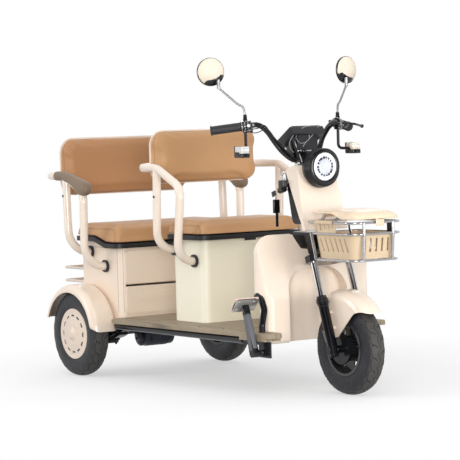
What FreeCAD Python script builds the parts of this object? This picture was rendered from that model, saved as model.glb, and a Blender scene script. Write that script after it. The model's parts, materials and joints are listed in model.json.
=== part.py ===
import FreeCAD, Part
import math
import os

# Electric passenger tricycle, in millimetres. Y counts to the vehicle's left and Z up from the ground.
# While they are modelled, X counts forward from the rear axle for the seats and what stands behind
# the foot deck, and from the front axle for the deck's front end, the apron, the pedal and all that steers.
# The finished pieces are moved so that X = 0 is at the middle of the overall length.

# General fits
seat_gap = 0.3
joint_gap = 0.3
overrun = 20.0
wall = 6.0
full_turn = 360.0
right_angle = 90.0

# Wheels
tyre_radius = 186.0
tyre_width = 80.0
bead_radius = 103.0
bead_half_width = 29.0
wheelbase = 1440.0
wheel_gap = 35.0
brake_gap = 20.0
rim_wall = 4.0
rim_lip = 7.0
rim_drop = 16.0
cover_radius = 92.0
cover_crown = 12.0
cover_slot_count = 12
cover_slot_length = 20.0
cover_slot_width = 6.0
cover_slot_circle = 80.0
hub_radius = 30.0
hub_dome = 10.0
axle_radius = 10.0
front_hub_radius = 52.0
front_hub_half_width = 38.0
front_window_count = 6
front_window_radius = 13.0
front_window_circle = 72.0
groove_depth = 5.0
groove_half_width = 3.0
groove_share = 0.42
shoulder_share = 0.84
shoulder_arc_share = 0.16

# Floor and frame
floor_top = 262.0
floor_thickness = 20.0
floor_rear_x = 232.0
floor_front_x = -74.0
floor_mid_x = -266.0
floor_front_half_width = 350.0
floor_horn_width = 78.0
floor_corner = 22.0
floor_edge_round = 6.0
horn_depth = 32.0
side_tube_radius = 15.0
side_tube_y = 325.0
side_tube_rear_x = 215.0
side_tube_front_x = -272.0
rail_y = 170.0
rail_half_width = 20.0
rail_height = 30.0
rail_rear_x = -205.0
rail_front_x = -290.0
cross_radius = 13.0
cross_count = 5
down_tube_radius = 21.0
down_tube_x = -295.0
down_tube_knee_z = 545.0
rear_post_half = 14.0
neck_cover_rear_x = -295.0
neck_cover_front_x = -176.0
neck_cover_low_z = 577.0
neck_cover_mid_z = 602.0
neck_cover_top_z = 646.0
neck_cover_low_half = 30.0
neck_cover_mid_half = 46.0
neck_cover_top_half = 60.0
neck_cover_round = 12.0
down_tube_bend = 90.0
mat_thickness = 1.5
mat_margin = 20.0
mat_half_width = 300.0
floor_tyre_inset = 6.0

# Steering axis and fork
rake_degrees = 18.3
fork_offset = 29.6
axle_drop = 368.8
leg_y = 87.0
stanchion_radius = 14.0
lower_leg_radius = 20.0
collar_radius = 23.0
collar_height = 24.0
stanchion_length = 150.0
crown_height = 28.0
crown_round = 18.0
crown_reach = 34.0
crown_ear = 26.0
crown_rear_half = 34.0
crown_shoulder = 8.0
steerer_radius = 14.0
steerer_top = 424.0
head_tube_radius = 25.0
head_tube_bottom = 20.6
head_tube_length = 100.0
axle_boss_radius = 19.0
axle_half_length = 112.0
axle_nut_radius = 15.0
drum_plate_radius = 62.0
drum_plate_thickness = 9.0
drum_plate_y = 42.0

# Front fender
fender_wall = 4.0
fender_half_width = 57.0
fender_radius = 214.0
fender_ahead = -9.0
fender_lift = 21.0
fender_nose_x = 140.0
fender_nose_z = 316.0
fender_crown_round = 46.0
fender_skirt_radius = 26.0
fender_tip_degrees = 32.0
fender_knee_x = 100.0
fender_knee_z = 338.0
fender_knee_round = 85.0
fender_wing_rear_x = -54.0
fender_wing_front_x = -28.0
fender_wing_z = 213.0
fender_wing_round = 12.0
fender_rear_top_x = -84.0
fender_lug_radius = 8.0
fender_lug_high = 150.0
fender_lug_low = 88.0

# Head: shroud, cover, lamp
shroud_top_half_width = 88.0
shroud_bottom_half_width = 108.0
shroud_lean = math.radians(15.4)
shroud_rear_x = -281.0
shroud_heel_x = -165.0
shroud_heel_z = 690.0
shroud_knee_z = 707.0
shroud_knee_round = 30.0
shroud_lip_length = 13.0
shroud_lip_round = 4.0
shroud_rear_z = 893.0
shroud_top_x = -211.0
shroud_top_z = 925.0
shroud_bottom_z = 655.0
shroud_round = 22.0
cover_inset = 12.0
cover_rear_x = -297.0
cover_rear_z = 882.0
cover_heel_x = -232.0
cover_heel_z = 680.0
cover_overlap = 14.0
lamp_z = 908.0
lamp_face_x = -136.0
lamp_radius = 73.0
lamp_lens_radius = 56.0
lamp_depth = 92.0
lamp_belly_radius = 80.0
lamp_belly_back = 36.0
lamp_drop = 7.0
lamp_rear_radius = 52.0
lamp_rim = 6.0

# Handlebar
bar_radius = 11.0
bar_clamp_z = 933.0
bar_clamp_half = 20.0
bar_low_y = 62.0
bar_rise_x = -318.0
bar_rise_y = 120.0
bar_rise_z = 1015.0
bar_top_x = -322.0
bar_top_y = 160.0
bar_top_z = 1064.0
bar_bend_x = -332.0
bar_bend_y = 205.0
bar_bend_z = 1082.0
bar_end_x = -429.0
bar_end_y = 350.0
bar_end_z = 1063.0
bar_bend_radius = 38.0
cable_radius = 3.0
arc_share = 0.42
cable_stand_off = 17.0
cable_clamp_x = -258.0
cable_clamp_y = 58.0
cable_clamp_z = 938.0
cable_end_y = 30.0
grip_radius = 17.5
grip_length = 118.0
cluster_length = 44.0
cluster_half_height = 19.0
cluster_round = 8.0
lever_radius = 5.0
lever_reach = 90.0
lever_length = 185.0
lever_ball_radius = 8.0

# Mirrors
mirror_x = -426.0
mirror_y = 345.0
mirror_z = 1300.0
mirror_radius = 57.5
mirror_depth = 26.0
mirror_glass_inset = 4.0
mirror_glass_thickness = 3.0
mirror_toe_degrees = 10.0
mirror_stem_radius = 5.0
mirror_stem_rise = 70.0
mirror_stem_bend = 30.0
mirror_base_radius = 12.0
mirror_base_height = 22.0
mirror_base_top_radius = 7.0
mirror_wedge_length = 26.0

# Dash, indicators, lock
dash_half_width = 80.0
dash_front_x = -254.0
dash_front_z = 1074.0
dash_rear_x = -354.0
dash_rear_z = 1012.0
dash_thickness = 36.0
dash_round = 10.0
dash_stem_half = 30.0
dash_stem_half_width = 50.0
indicator_stalk_radius = 6.0
indicator_x = -315.0
indicator_y = 281.0
indicator_z = 975.0
indicator_length = 52.0
indicator_half_width = 18.0
indicator_half_height = 21.0
lock_radius = 13.0
lock_length = 24.0
lock_y = 58.0
lock_drop_share = 0.3

# Basket
basket_rear_x = -88.0
basket_length = 280.4
basket_half_width = 120.0
basket_taper = 18.0
basket_corner = 48.0
basket_rim_z = 648.0
basket_wall = 4.0
wire_radius = 4.8
ring_top_z = 692.0
ring_mid_z = 648.0
ring_low_z = 549.0
upright_radius = 6.0
stay_radius = 3.0
basket_side_length = 158.0
side_slot_count = 6
front_slot_count = 5
basket_side_z = 700.0
basket_stay_back = 32.0
ring_back_x = -118.0
basket_slot_width = 9.0
basket_slot_low_z = 577.0
basket_slot_high_z = 630.0
basket_slot_lean_share = 0.28
hook_slot_count = 4
hook_slot_low_z = 660.0
hook_slot_high_z = 688.0
hook_reach = 18.0
hook_lip = 12.0
hook_wall = 2.8
lid_gap = 5.0
lid_low_z = 702.0
lid_belly_z = 706.0
lid_step_round = 60.0
lid_hinge_half = 34.0
lid_front_reach = 8.0
lid_rear_low_z = 727.0
lid_rear_x = -104.0
lid_top_z = 745.0
lid_step_rear_share = 0.5
lid_step_front_share = 0.76
lid_half_width = 117.0
lid_wall = 7.0
lid_side_round = 30.0
lid_pin_x = -102.0
lid_pin_z = 714.0
lid_pin_radius = 2.5
lid_knuckle_radius = 6.5
lid_lug_thickness = 5.0
lid_corner = 46.0
lid_tab_half = 20.0
lid_tab_drop = 24.0
lid_tab_thickness = 4.0
bracket_half_width = 60.0
bracket_thickness = 5.0

# Leg shield
shield_rear_x = -328.0
shield_front_x = -200.0
shield_half_width = 276.0
shield_low_half_width = 252.0
shield_bottom_z = 205.0
shield_top_z = 640.0
shield_waist_z = 390.0
shield_corner = 62.0
shield_shoulder = 78.0
shield_side_rear_y = 196.0
shield_rear_drop = 22.0
shield_side_round = 55.0
notch_half_width = 52.0
notch_z = 575.0
notch_slope = 40.0
shield_edge_round = 16.0
recess_half_width = 148.0
recess_top_z = 500.0
recess_round = 95.0
recess_floor_x = -254.0
guard_radius = 13.0
guard_foot_x = -166.0
guard_bend_x = -177.0
guard_bend_z = 350.0
guard_top_x = -196.0
guard_end_x = -228.0

# Front seat
seat_box_rear_x = 514.0
seat_box_front_x = 758.0
seat_box_half_width = 230.0
seat_box_corner = 36.0
front_tray_z = 609.0
tray_height = 20.0
front_cushion_front_x = 797.0
front_cushion_overhang = 34.0
front_back_spread = 4.0
front_hoop_stand_off = 89.0
front_cushion_top_z = 685.0
cushion_corner = 42.0
cushion_round = 22.0
seat_hinge_radius = 6.0
seat_hinge_length = 60.0

# Rear seat and its box
rear_box_rear_x = -107.0
rear_box_front_x = 226.0
rear_box_half_width = 305.0
rear_box_corner = 30.0
rear_cushion_rear_x = -112.0
rear_cushion_front_x = 245.0
cushion_overhang = 32.0
back_inset = 7.0
hoop_stand_off = 110.0
rear_cushion_top_z = 660.0
rear_tray_high_z = 589.0
rear_tray_low_z = 562.0
rear_step_rear_x = 60.0
rear_step_front_x = 150.0
rear_step_round = 60.0
panel_slot_z = 394.0
panel_slot_height = 9.0
panel_thickness = 5.0
panel_side_inset = 24.0
panel_low_z = 276.0
panel_high_z = 548.0
panel_round = 14.0
emboss_share = 0.76
emboss_low_z = 332.0
emboss_high_z = 360.0
emboss_rise = 2.5

# Backrests
back_round = 66.0
back_edge_round = 16.0
back_pad_thickness = 34.0
back_shell_thickness = 12.0
back_stand_off = 28.0
back_foot_radius = 20.0
back_foot_share = 0.45
front_back_low_z = 840.0
front_back_high_z = 1067.0
rear_back_low_z = 785.0
rear_back_high_z = 1041.0

# Armrest hoops
hoop_radius = 17.5
front_hoop_bar_x = 372.0
front_hoop_bar_z = 911.0
front_hoop_post_x = 731.0
front_hoop_elbow_z = 829.0
front_hoop_foot_x = 691.0
front_hoop_foot_z = 520.0
front_hoop_rear_post_x = 553.0
front_hoop_rear_foot_x = 542.0
front_hoop_rear_foot_z = 565.0
rear_hoop_bar_x = -270.0
rear_hoop_bar_z = 876.0
rear_hoop_post_x = 116.0
rear_hoop_elbow_z = 805.0
rear_hoop_foot_x = 106.0
rear_hoop_foot_z = 481.0
rear_hoop_rear_post_x = -29.0
rear_hoop_rear_foot_x = -16.0
rear_hoop_rear_foot_z = 540.0
front_hoop_plan_bend = 110.0
rear_hoop_plan_bend = 160.0
hoop_elbow_bend = 62.0
grommet_radius = 27.0
grommet_thickness = 9.0
arm_pad_radius = 24.0

# Rear fenders
rear_fender_radius = 216.0
rear_fender_behind = 18.0
rear_fender_inner_skirt = 176.0
rear_fender_outer_skirt = 181.0
rear_fender_outer_round = 32.0
rear_fender_inner_round = 36.0
rear_fender_front_z = 203.0
rear_fender_rear_z = 248.0
rear_fender_lobe_round = 30.0
fender_side_gap = 12.0
rear_fender_wall = 5.0

# Rear axle, motor and springs
axle_tube_radius = 24.0
diff_radius = 54.0
diff_half_width = 44.0
diff_flank_share = 0.6
motor_radius = 48.0
motor_length = 150.0
motor_z = 165.0
motor_y = -60.0
spring_inset = 60.0
spring_half_length = 200.0
spring_leaf = 7.0
spring_leaf_count = 3
spring_half_width = 22.0
spring_eye_radius = 14.0
spring_clamp_half = 34.0
spring_clamp_bolt_radius = 5.0

# Rear bars and lamps
bumper_radius = 6.0
bumper_inset = 15.0
bumper_rear_x = -276.0
bumper_bend = 26.0
bumper_high_z = 461.0
bumper_low_z = 403.0
tail_lamp_low_z = 473.0
tail_lamp_high_z = 527.0
tail_lamp_depth = 14.0
tail_lamp_outer_y = 298.0
tail_lamp_inner_y = 196.0

# Brake pedal
pedal_pivot_x = -138.0
pedal_pivot_z = 184.0
pedal_y = 372.0
pedal_top_x = -192.0
pedal_top_z = 372.0
pedal_arm_half = 13.0
pedal_arm_width = 30.0
pedal_pad_half_width = 56.0
pedal_pad_height = 62.0
pedal_pad_thickness = 6.0
pedal_pad_tilt = 35.0
pedal_bracket_x = -106.0
pedal_bracket_half = 22.0
pedal_bracket_thickness = 8.0
pedal_bracket_low_z = 166.0
pedal_pin_radius = 9.0

# Worked out from the sizes above
rake = math.radians(rake_degrees)
head_x = -fork_offset * math.cos(rake) - axle_drop * math.sin(rake)
head_z = tyre_radius - fork_offset * math.sin(rake) + axle_drop * math.cos(rake)
floor_bottom = floor_top - floor_thickness
rear_wheel_y = rear_box_half_width + wheel_gap + tyre_width / 2
axle_tube_half_length = rear_wheel_y - bead_half_width - rim_wall - brake_gap - drum_plate_thickness
rear_fender_outer_y = rear_wheel_y + tyre_width / 2 + fender_side_gap
rear_cushion_half_width = rear_box_half_width + cushion_overhang
rear_back_half_width = rear_cushion_half_width - back_inset
rear_hoop_y = rear_box_half_width + hoop_stand_off
spring_y = rear_box_half_width - spring_inset
bumper_y = rear_box_half_width - bumper_inset
floor_rear_half_width = rear_wheel_y - floor_tyre_inset
front_cushion_half_width = seat_box_half_width + front_cushion_overhang
front_back_half_width = front_cushion_half_width + front_back_spread
front_hoop_y = seat_box_half_width + front_hoop_stand_off
basket_front_x = basket_rear_x + basket_length
shroud_bottom_x = shroud_top_x + (shroud_top_z - shroud_bottom_z) * math.tan(shroud_lean)
basket_floor_z = ring_low_z + seat_gap
motor_x = math.sqrt((diff_radius + motor_radius + seat_gap) ** 2 - (tyre_radius - motor_z) ** 2)

# Overall length, for the shared origin
tail_x = rear_hoop_bar_x - hoop_radius
nose_x = wheelbase + basket_front_x + 2 * wire_radius + lid_gap + lid_tab_thickness
origin_x = (tail_x + nose_x) / 2


def vec(x, y, z):
    return FreeCAD.Vector(x, y, z)


X_AXIS = vec(1, 0, 0)
Y_AXIS = vec(0, 1, 0)
Z_AXIS = vec(0, 0, 1)
HEAD = vec(head_x, 0, head_z)
FRONT_AXLE = vec(0, 0, tyre_radius)
REAR_AXLE = vec(0, 0, tyre_radius)
AHEAD = vec(wheelbase, 0, 0)
RAKE_UP = vec(-math.sin(rake), 0, math.cos(rake))
RAKE_FORWARD = vec(math.cos(rake), 0, math.sin(rake))


def on_fork(forward, side, up):
    """A point along the steering axis, forward of it and to its left, counted from the front axle's X."""
    return HEAD + RAKE_FORWARD * forward + Y_AXIS * side + RAKE_UP * up


def corner(before, at, after, radius):
    """Start, middle and end of the arc that rounds one corner."""
    u = (before - at).normalize()
    v = (after - at).normalize()
    half_turn = (math.pi - u.getAngle(v)) / 2
    cut = radius * math.tan(half_turn)
    bisector = (u + v).normalize()
    middle = at + bisector * (radius / math.cos(half_turn) - radius)
    return at + u * cut, middle, at + v * cut


def rounded_path(points, radii):
    """Straight runs joined by tangent arcs, one radius for each inner point."""
    edges = []
    start = points[0]
    for i in range(1, len(points) - 1):
        first, middle, last = corner(points[i - 1], points[i], points[i + 1], radii[i - 1])
        edges.append(Part.LineSegment(start, first).toShape())
        edges.append(Part.Arc(first, middle, last).toShape())
        start = last
    edges.append(Part.LineSegment(start, points[-1]).toShape())
    return Part.Wire(edges)


def rounded_face(points, radii):
    """A flat face whose corners have the given radii, zero for a sharp one."""
    count = len(points)
    corners = []
    for i in range(count):
        if radii[i]:
            corners.append(corner(points[i - 1], points[i], points[(i + 1) % count], radii[i]))
        else:
            corners.append((points[i], None, points[i]))
    edges = []
    for i in range(count):
        first, middle, last = corners[i]
        if middle:
            edges.append(Part.Arc(first, middle, last).toShape())
        edges.append(Part.LineSegment(last, corners[(i + 1) % count][0]).toShape())
    return Part.Face(Part.Wire(edges))


def plate_xy(points, radii, low, high):
    face = rounded_face([vec(x, y, low) for x, y in points], radii)
    return face.extrude(vec(0, 0, high - low))


def plate_xz(points, radii, low, high):
    face = rounded_face([vec(x, low, z) for x, z in points], radii)
    return face.extrude(vec(0, high - low, 0))


def plate_yz(points, radii, low, high):
    face = rounded_face([vec(low, y, z) for y, z in points], radii)
    return face.extrude(vec(high - low, 0, 0))


def box(low, high):
    size = high - low
    return Part.makeBox(size.x, size.y, size.z, low)


def rounded_block(low, high, plan_radius, top_radius=0, bottom_radius=0):
    """A block with rounded upright corners and softened top or bottom edges."""
    points = [(low.x, low.y), (high.x, low.y), (high.x, high.y), (low.x, high.y)]
    block = plate_xy(points, [plan_radius] * len(points), low.z, high.z)
    if top_radius:
        block = block.makeFillet(top_radius, flat_edges(block, high.z))
    if bottom_radius:
        block = block.makeFillet(bottom_radius, flat_edges(block, low.z))
    return block


def flat_edges(shape, height):
    """The edges that lie wholly at one height."""
    level = []
    for edge in shape.Edges:
        bounds = edge.BoundBox
        if abs(bounds.ZMin - height) < seat_gap and abs(bounds.ZMax - height) < seat_gap:
            level.append(edge)
    return level


def rod(start, end, radius):
    run = end - start
    return Part.makeCylinder(radius, run.Length, start, run)


def cone(start, end, start_radius, end_radius):
    run = end - start
    return Part.makeCone(start_radius, end_radius, run.Length, start, run)


def pipe(points, radii, radius):
    """A round tube or rod along a rounded path."""
    path = rounded_path(points, radii)
    first = path.Edges[0]
    circle = Part.Wire([Part.makeCircle(radius, points[0], first.tangentAt(first.FirstParameter))])
    return path.makePipeShell([circle], True, False)


def turned(points, centre, axis, start, angle=full_turn, radii=None):
    """Turns a closed outline given as (radius, place along the axis) about an axis.

    start is the direction in which the radius is counted before turning."""
    radii = radii or [0] * len(points)
    face = rounded_face([centre + start * r + axis * a for r, a in points], radii)
    return face.revolve(centre, axis, angle)


def fuse(shapes):
    joined = shapes[0]
    if len(shapes) > 1:
        joined = joined.fuse(shapes[1:])
    return joined.removeSplitter()


def mirrored(shape):
    return shape.mirror(vec(0, 0, 0), Y_AXIS)


def both_sides(shape):
    """Two like pieces that don't touch, one on each side."""
    return Part.makeCompound([shape, mirrored(shape)])


def flip(points):
    """The same points on the other side, in reverse order."""
    return [vec(p.x, -p.y, p.z) for p in reversed(points)]


def tyre(centre):
    """Tyre with a crowned tread, two grooves and bulged side walls."""
    half = tyre_width / 2
    shoulder = tyre_radius - rim_drop
    bulge = (bead_radius + tyre_radius) / 2

    def at(radius, across):
        return centre + X_AXIS * radius + Y_AXIS * across

    groove = half * groove_share
    tread_low = tyre_radius - groove_depth
    crown_low = tyre_radius - groove_depth / 2
    edges = [
        Part.LineSegment(at(bead_radius, bead_half_width), at(bead_radius, -bead_half_width)),
        Part.Arc(at(bead_radius, -bead_half_width), at(bulge, -half), at(shoulder, -half * shoulder_share)),
        Part.Arc(at(shoulder, -half * shoulder_share), at(crown_low, -groove - half * shoulder_arc_share),
                 at(tyre_radius - groove_depth / 4, -groove - groove_half_width)),
    ]
    tread = [
        at(tyre_radius - groove_depth / 4, -groove - groove_half_width),
        at(tread_low, -groove),
        at(tyre_radius - groove_depth / 4, -groove + groove_half_width),
        at(tyre_radius, 0),
        at(tyre_radius - groove_depth / 4, groove - groove_half_width),
        at(tread_low, groove),
        at(tyre_radius - groove_depth / 4, groove + groove_half_width),
    ]
    for i in range(len(tread) - 1):
        edges.append(Part.LineSegment(tread[i], tread[i + 1]))
    edges.append(Part.Arc(tread[-1], at(crown_low, groove + half * shoulder_arc_share), at(shoulder, half * shoulder_share)))
    edges.append(Part.Arc(at(shoulder, half * shoulder_share), at(bulge, half), at(bead_radius, bead_half_width)))
    face = Part.Face(Part.Wire([edge.toShape() for edge in edges]))
    return face.revolve(centre, Y_AXIS, full_turn)


def rim_outline(outer_cover):
    """Half section of a rim as (radius, place outwards), with a disc cover or a mid web."""
    edge = bead_half_width + rim_wall
    seat = bead_radius - seat_gap
    lip = bead_radius + rim_lip
    inside = seat - rim_wall
    bore = axle_radius + joint_gap
    rear = [
        (0, edge + cover_crown + hub_dome),
        (hub_radius / 2, edge + cover_crown + hub_dome),
        (hub_radius, edge + cover_crown),
        (cover_radius / 2, edge + cover_crown),
        (cover_radius, edge + rim_wall),
        (lip, edge + rim_wall),
        (lip, edge),
        (seat, edge),
        (seat, -edge),
        (lip, -edge),
        (lip, -edge - rim_wall),
        (inside, -edge - rim_wall),
        (inside, edge),
        (cover_radius, edge),
        (cover_radius / 2, edge + cover_crown - rim_wall),
        (hub_radius, edge + cover_crown - rim_wall),
        (hub_radius, -edge),
        (bore, -edge),
        (bore, edge),
        (0, edge),
    ]
    half_web = rim_wall
    front = [
        (lip, edge + rim_wall),
        (lip, edge),
        (seat, edge),
        (seat, -edge),
        (lip, -edge),
        (lip, -edge - rim_wall),
        (inside, -edge - rim_wall),
        (inside, -half_web),
        (front_hub_radius, -half_web),
        (front_hub_radius, -front_hub_half_width),
        (bore, -front_hub_half_width),
        (bore, front_hub_half_width),
        (front_hub_radius, front_hub_half_width),
        (front_hub_radius, half_web),
        (inside, half_web),
        (inside, edge + rim_wall),
    ]
    return rear if outer_cover else front


def rear_rim(side):
    centre = REAR_AXLE + Y_AXIS * (side * rear_wheel_y)
    outward = Y_AXIS * side
    rim = turned(rim_outline(True), centre, outward, X_AXIS)
    edge = bead_half_width + rim_wall
    slot = box(vec(cover_slot_circle - cover_slot_width / 2, -cover_slot_length / 2, edge - rim_wall),
               vec(cover_slot_circle + cover_slot_width / 2, cover_slot_length / 2, edge + cover_crown))
    slot.rotate(vec(0, 0, 0), X_AXIS, -right_angle * side)
    slot.translate(centre)
    slots = []
    for i in range(cover_slot_count):
        one = slot.copy()
        one.rotate(centre, Y_AXIS, full_turn * i / cover_slot_count)
        slots.append(one)
    return rim.cut(slots)


def front_rim():
    centre = FRONT_AXLE
    rim = turned(rim_outline(False), centre, Y_AXIS, X_AXIS)
    windows = []
    for i in range(front_window_count):
        hole = Part.makeCylinder(front_window_radius, 2 * tyre_width,
                                 centre + X_AXIS * front_window_circle - Y_AXIS * tyre_width, Y_AXIS)
        hole.rotate(centre, Y_AXIS, full_turn * i / front_window_count)
        windows.append(hole)
    return rim.cut(windows)


def frame():
    """Rails, cross tubes, side tubes, the down tube and the head tube."""
    rail_top = floor_bottom - seat_gap
    tube_z = rail_top - rail_height / 2
    side_tube_end = wheelbase + side_tube_front_x
    pieces = []
    for side in (-1, 1):
        rail_side = sorted([side * (rail_y - rail_half_width), side * (rail_y + rail_half_width)])
        pieces.append(box(vec(rail_rear_x - rear_post_half, rail_side[0], rail_top - rail_height),
                          vec(wheelbase + rail_front_x, rail_side[1], rail_top)))
        pieces.append(rod(vec(side_tube_rear_x, side * side_tube_y, tube_z),
                          vec(side_tube_end, side * side_tube_y, tube_z), side_tube_radius))
    down_x = wheelbase + down_tube_x
    step = (down_x - side_tube_rear_x - overrun) / (cross_count - 1)
    for i in range(cross_count):
        x = side_tube_rear_x + overrun + step * i
        pieces.append(rod(vec(x, -side_tube_y, tube_z), vec(x, side_tube_y, tube_z), cross_radius))
    for x in (-spring_half_length, spring_half_length):
        pieces.append(rod(vec(x, -spring_y - spring_clamp_half, tube_z),
                          vec(x, spring_y + spring_clamp_half, tube_z), spring_eye_radius - rim_wall))
    pieces.append(neck_tube(tube_z, down_tube_radius))
    pieces.append(pedal_bracket())
    pieces.append(neck_cover())
    bottom = on_fork(0, 0, head_tube_bottom) + AHEAD
    top = on_fork(0, 0, head_tube_bottom + head_tube_length) + AHEAD
    pieces.append(rod(bottom, top, head_tube_radius))
    bore = rod(bottom - RAKE_UP * overrun, top + RAKE_UP * overrun, steerer_radius + joint_gap)
    return fuse(pieces).cut(bore)


def neck_tube(start_z, radius):
    """The bent tube from the frame up to the head tube."""
    knee = vec(down_tube_x, 0, down_tube_knee_z)
    neck = on_fork(0, 0, head_tube_bottom + head_tube_length / 2)
    tube = pipe([vec(down_tube_x, 0, start_z), knee, neck], [down_tube_bend], radius)
    tube.translate(AHEAD)
    return tube


def neck_cover():
    """Moulded cover round the neck, in the apron's notch."""
    outline = [
        (-neck_cover_low_half, neck_cover_low_z),
        (neck_cover_low_half, neck_cover_low_z),
        (neck_cover_mid_half, neck_cover_mid_z),
        (neck_cover_top_half, neck_cover_top_z),
        (-neck_cover_top_half, neck_cover_top_z),
        (-neck_cover_mid_half, neck_cover_mid_z),
    ]
    radii = [0, 0, 0, neck_cover_round, neck_cover_round, 0]
    cover = plate_yz(outline, radii, neck_cover_rear_x, neck_cover_front_x)
    cover.translate(AHEAD)
    return cover


def floor_board():
    """Foot deck that tapers forward, with a horn beside the pedal and two slightly raised mats."""
    inner = floor_front_half_width - floor_horn_width
    mid = wheelbase + floor_mid_x
    front = wheelbase + floor_front_x
    apron = wheelbase + shield_rear_x - seat_gap
    side_end = wheelbase + recess_floor_x - wall - seat_gap
    middle = shield_side_rear_y - seat_gap
    left_end = wheelbase + shield_front_x
    points = [
        (floor_rear_x, -floor_rear_half_width),
        (mid, -floor_front_half_width),
        (front, -floor_front_half_width),
        (front, -inner),
        (side_end, -inner),
        (side_end, -middle),
        (apron, -middle),
        (apron, middle),
        (side_end, middle),
        (side_end, inner),
        (left_end, inner),
        (left_end, floor_front_half_width),
        (mid, floor_front_half_width),
        (floor_rear_x, floor_rear_half_width),
    ]
    radii = [floor_corner, 0, floor_corner, floor_corner, 0, 0, 0, 0, 0, 0, 0, floor_corner, 0, floor_corner]
    deck = plate_xy(points, radii, floor_bottom, floor_top)
    deck = deck.makeFillet(floor_edge_round, flat_edges(deck, floor_top))
    horn = box(vec(wheelbase + side_tube_front_x + seat_gap, -floor_front_half_width, floor_top - horn_depth),
               vec(front - floor_corner, -inner, floor_top - floor_edge_round))
    pieces = [deck, horn]
    for start, end in ((floor_rear_x, seat_box_rear_x), (front_cushion_front_x, apron)):
        length = end - start - 2 * mat_margin
        pieces.append(rounded_block(vec(start + mat_margin, -mat_half_width, floor_top - floor_edge_round),
                                    vec(end - mat_margin, mat_half_width, floor_top + mat_thickness),
                                    min(floor_corner, length / 3)))
    return fuse(pieces)


def leg_shield():
    """Apron with rounded shoulders, a notch for the neck and an arched wheel recess."""
    outline = [
        (-shield_low_half_width, shield_bottom_z),
        (shield_low_half_width, shield_bottom_z),
        (shield_low_half_width, shield_waist_z - shield_corner / 2),
        (shield_half_width, shield_waist_z),
        (shield_half_width, shield_top_z),
        (notch_half_width + notch_slope, shield_top_z),
        (notch_half_width, notch_z),
        (-notch_half_width, notch_z),
        (-notch_half_width - notch_slope, shield_top_z),
        (-shield_half_width, shield_top_z),
        (-shield_half_width, shield_waist_z),
        (-shield_low_half_width, shield_waist_z - shield_corner / 2),
    ]
    soft = notch_slope / 2
    radii = [soft, soft, soft, soft, shield_shoulder, soft, soft, soft, soft, shield_shoulder, soft, soft]
    apron = plate_yz(outline, radii, shield_rear_x, shield_front_x)
    front = [e for e in apron.Edges if e.BoundBox.XMin > shield_front_x - seat_gap]
    apron = apron.makeFillet(shield_edge_round, front)
    plan = [
        (shield_rear_x, -shield_half_width),
        (shield_front_x, -shield_half_width),
        (shield_front_x, shield_half_width),
        (shield_rear_x, shield_half_width),
    ]
    apron = apron.common(plate_xy(plan, [0, shield_side_round, shield_side_round, 0],
                                  shield_bottom_z - overrun, shield_top_z + overrun))
    lean = plate_xz([(shield_rear_x - overrun, shield_bottom_z - overrun),
                     (shield_front_x, shield_bottom_z - overrun),
                     (shield_front_x, shield_waist_z),
                     (recess_floor_x, shield_top_z),
                     (shield_rear_x, shield_top_z - shield_rear_drop),
                     (shield_rear_x - overrun, shield_top_z - shield_rear_drop)],
                    [0, 0, 2 * shield_corner, 0, 0, 0], -shield_half_width - overrun, shield_half_width + overrun)
    apron = apron.common(lean)
    recess = plate_yz([(-recess_half_width, shield_bottom_z - overrun),
                       (recess_half_width, shield_bottom_z - overrun),
                       (recess_half_width, recess_top_z),
                       (-recess_half_width, recess_top_z)],
                      [0, 0, recess_round, recess_round], recess_floor_x, shield_front_x + overrun)
    channel = neck_tube(shield_bottom_z - overrun, down_tube_radius + seat_gap)
    channel.translate(AHEAD * -1)
    under = floor_bottom - rail_height - seat_gap
    rails = box(vec(shield_rear_x - overrun, -side_tube_y, under),
                vec(recess_floor_x - wall, side_tube_y, floor_top))
    cuts = [recess, channel, rails]
    for side in (-1, 1):
        first = side * shield_side_rear_y
        last = side * (shield_half_width + overrun)
        cuts.append(box(vec(shield_rear_x - overrun, min(first, last), shield_bottom_z - overrun),
                        vec(recess_floor_x - wall, max(first, last), shield_top_z + overrun)))
    return apron.cut(cuts)


def guards():
    """Bent guard bar beside the apron's right edge, standing on the floor's horn."""
    foot = floor_front_half_width - floor_horn_width / 2
    reach = shield_half_width + guard_radius + seat_gap
    low = floor_top + seat_gap
    points = [
        vec(guard_foot_x, -foot, low),
        vec(guard_foot_x, -foot, low + 2 * guard_radius),
        vec(guard_bend_x, -reach, guard_bend_z),
        vec(guard_top_x, -reach, shield_waist_z),
        vec(guard_end_x, -reach, shield_waist_z + guard_radius),
    ]
    return pipe(points, [guard_radius, 4 * guard_radius, 2 * guard_radius], guard_radius)


def front_axle():
    """Axle with its nuts and spacers, and the brake plate on the right."""
    centre = FRONT_AXLE
    half = axle_half_length
    gap = leg_y - lower_leg_radius - seat_gap
    pieces = [rod(centre - Y_AXIS * half, centre + Y_AXIS * half, axle_radius)]
    start = front_hub_half_width + joint_gap
    pieces.append(rod(centre + Y_AXIS * start, centre + Y_AXIS * gap, axle_nut_radius))
    pieces.append(rod(centre - Y_AXIS * drum_plate_y, centre - Y_AXIS * gap, axle_nut_radius))
    outer = leg_y + lower_leg_radius + seat_gap
    for side in (-1, 1):
        pieces.append(rod(centre + Y_AXIS * (side * outer), centre + Y_AXIS * (side * half), axle_nut_radius))
    pieces.append(rod(centre - Y_AXIS * drum_plate_y, centre - Y_AXIS * (drum_plate_y + drum_plate_thickness),
                      drum_plate_radius))
    return fuse(pieces)


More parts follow.
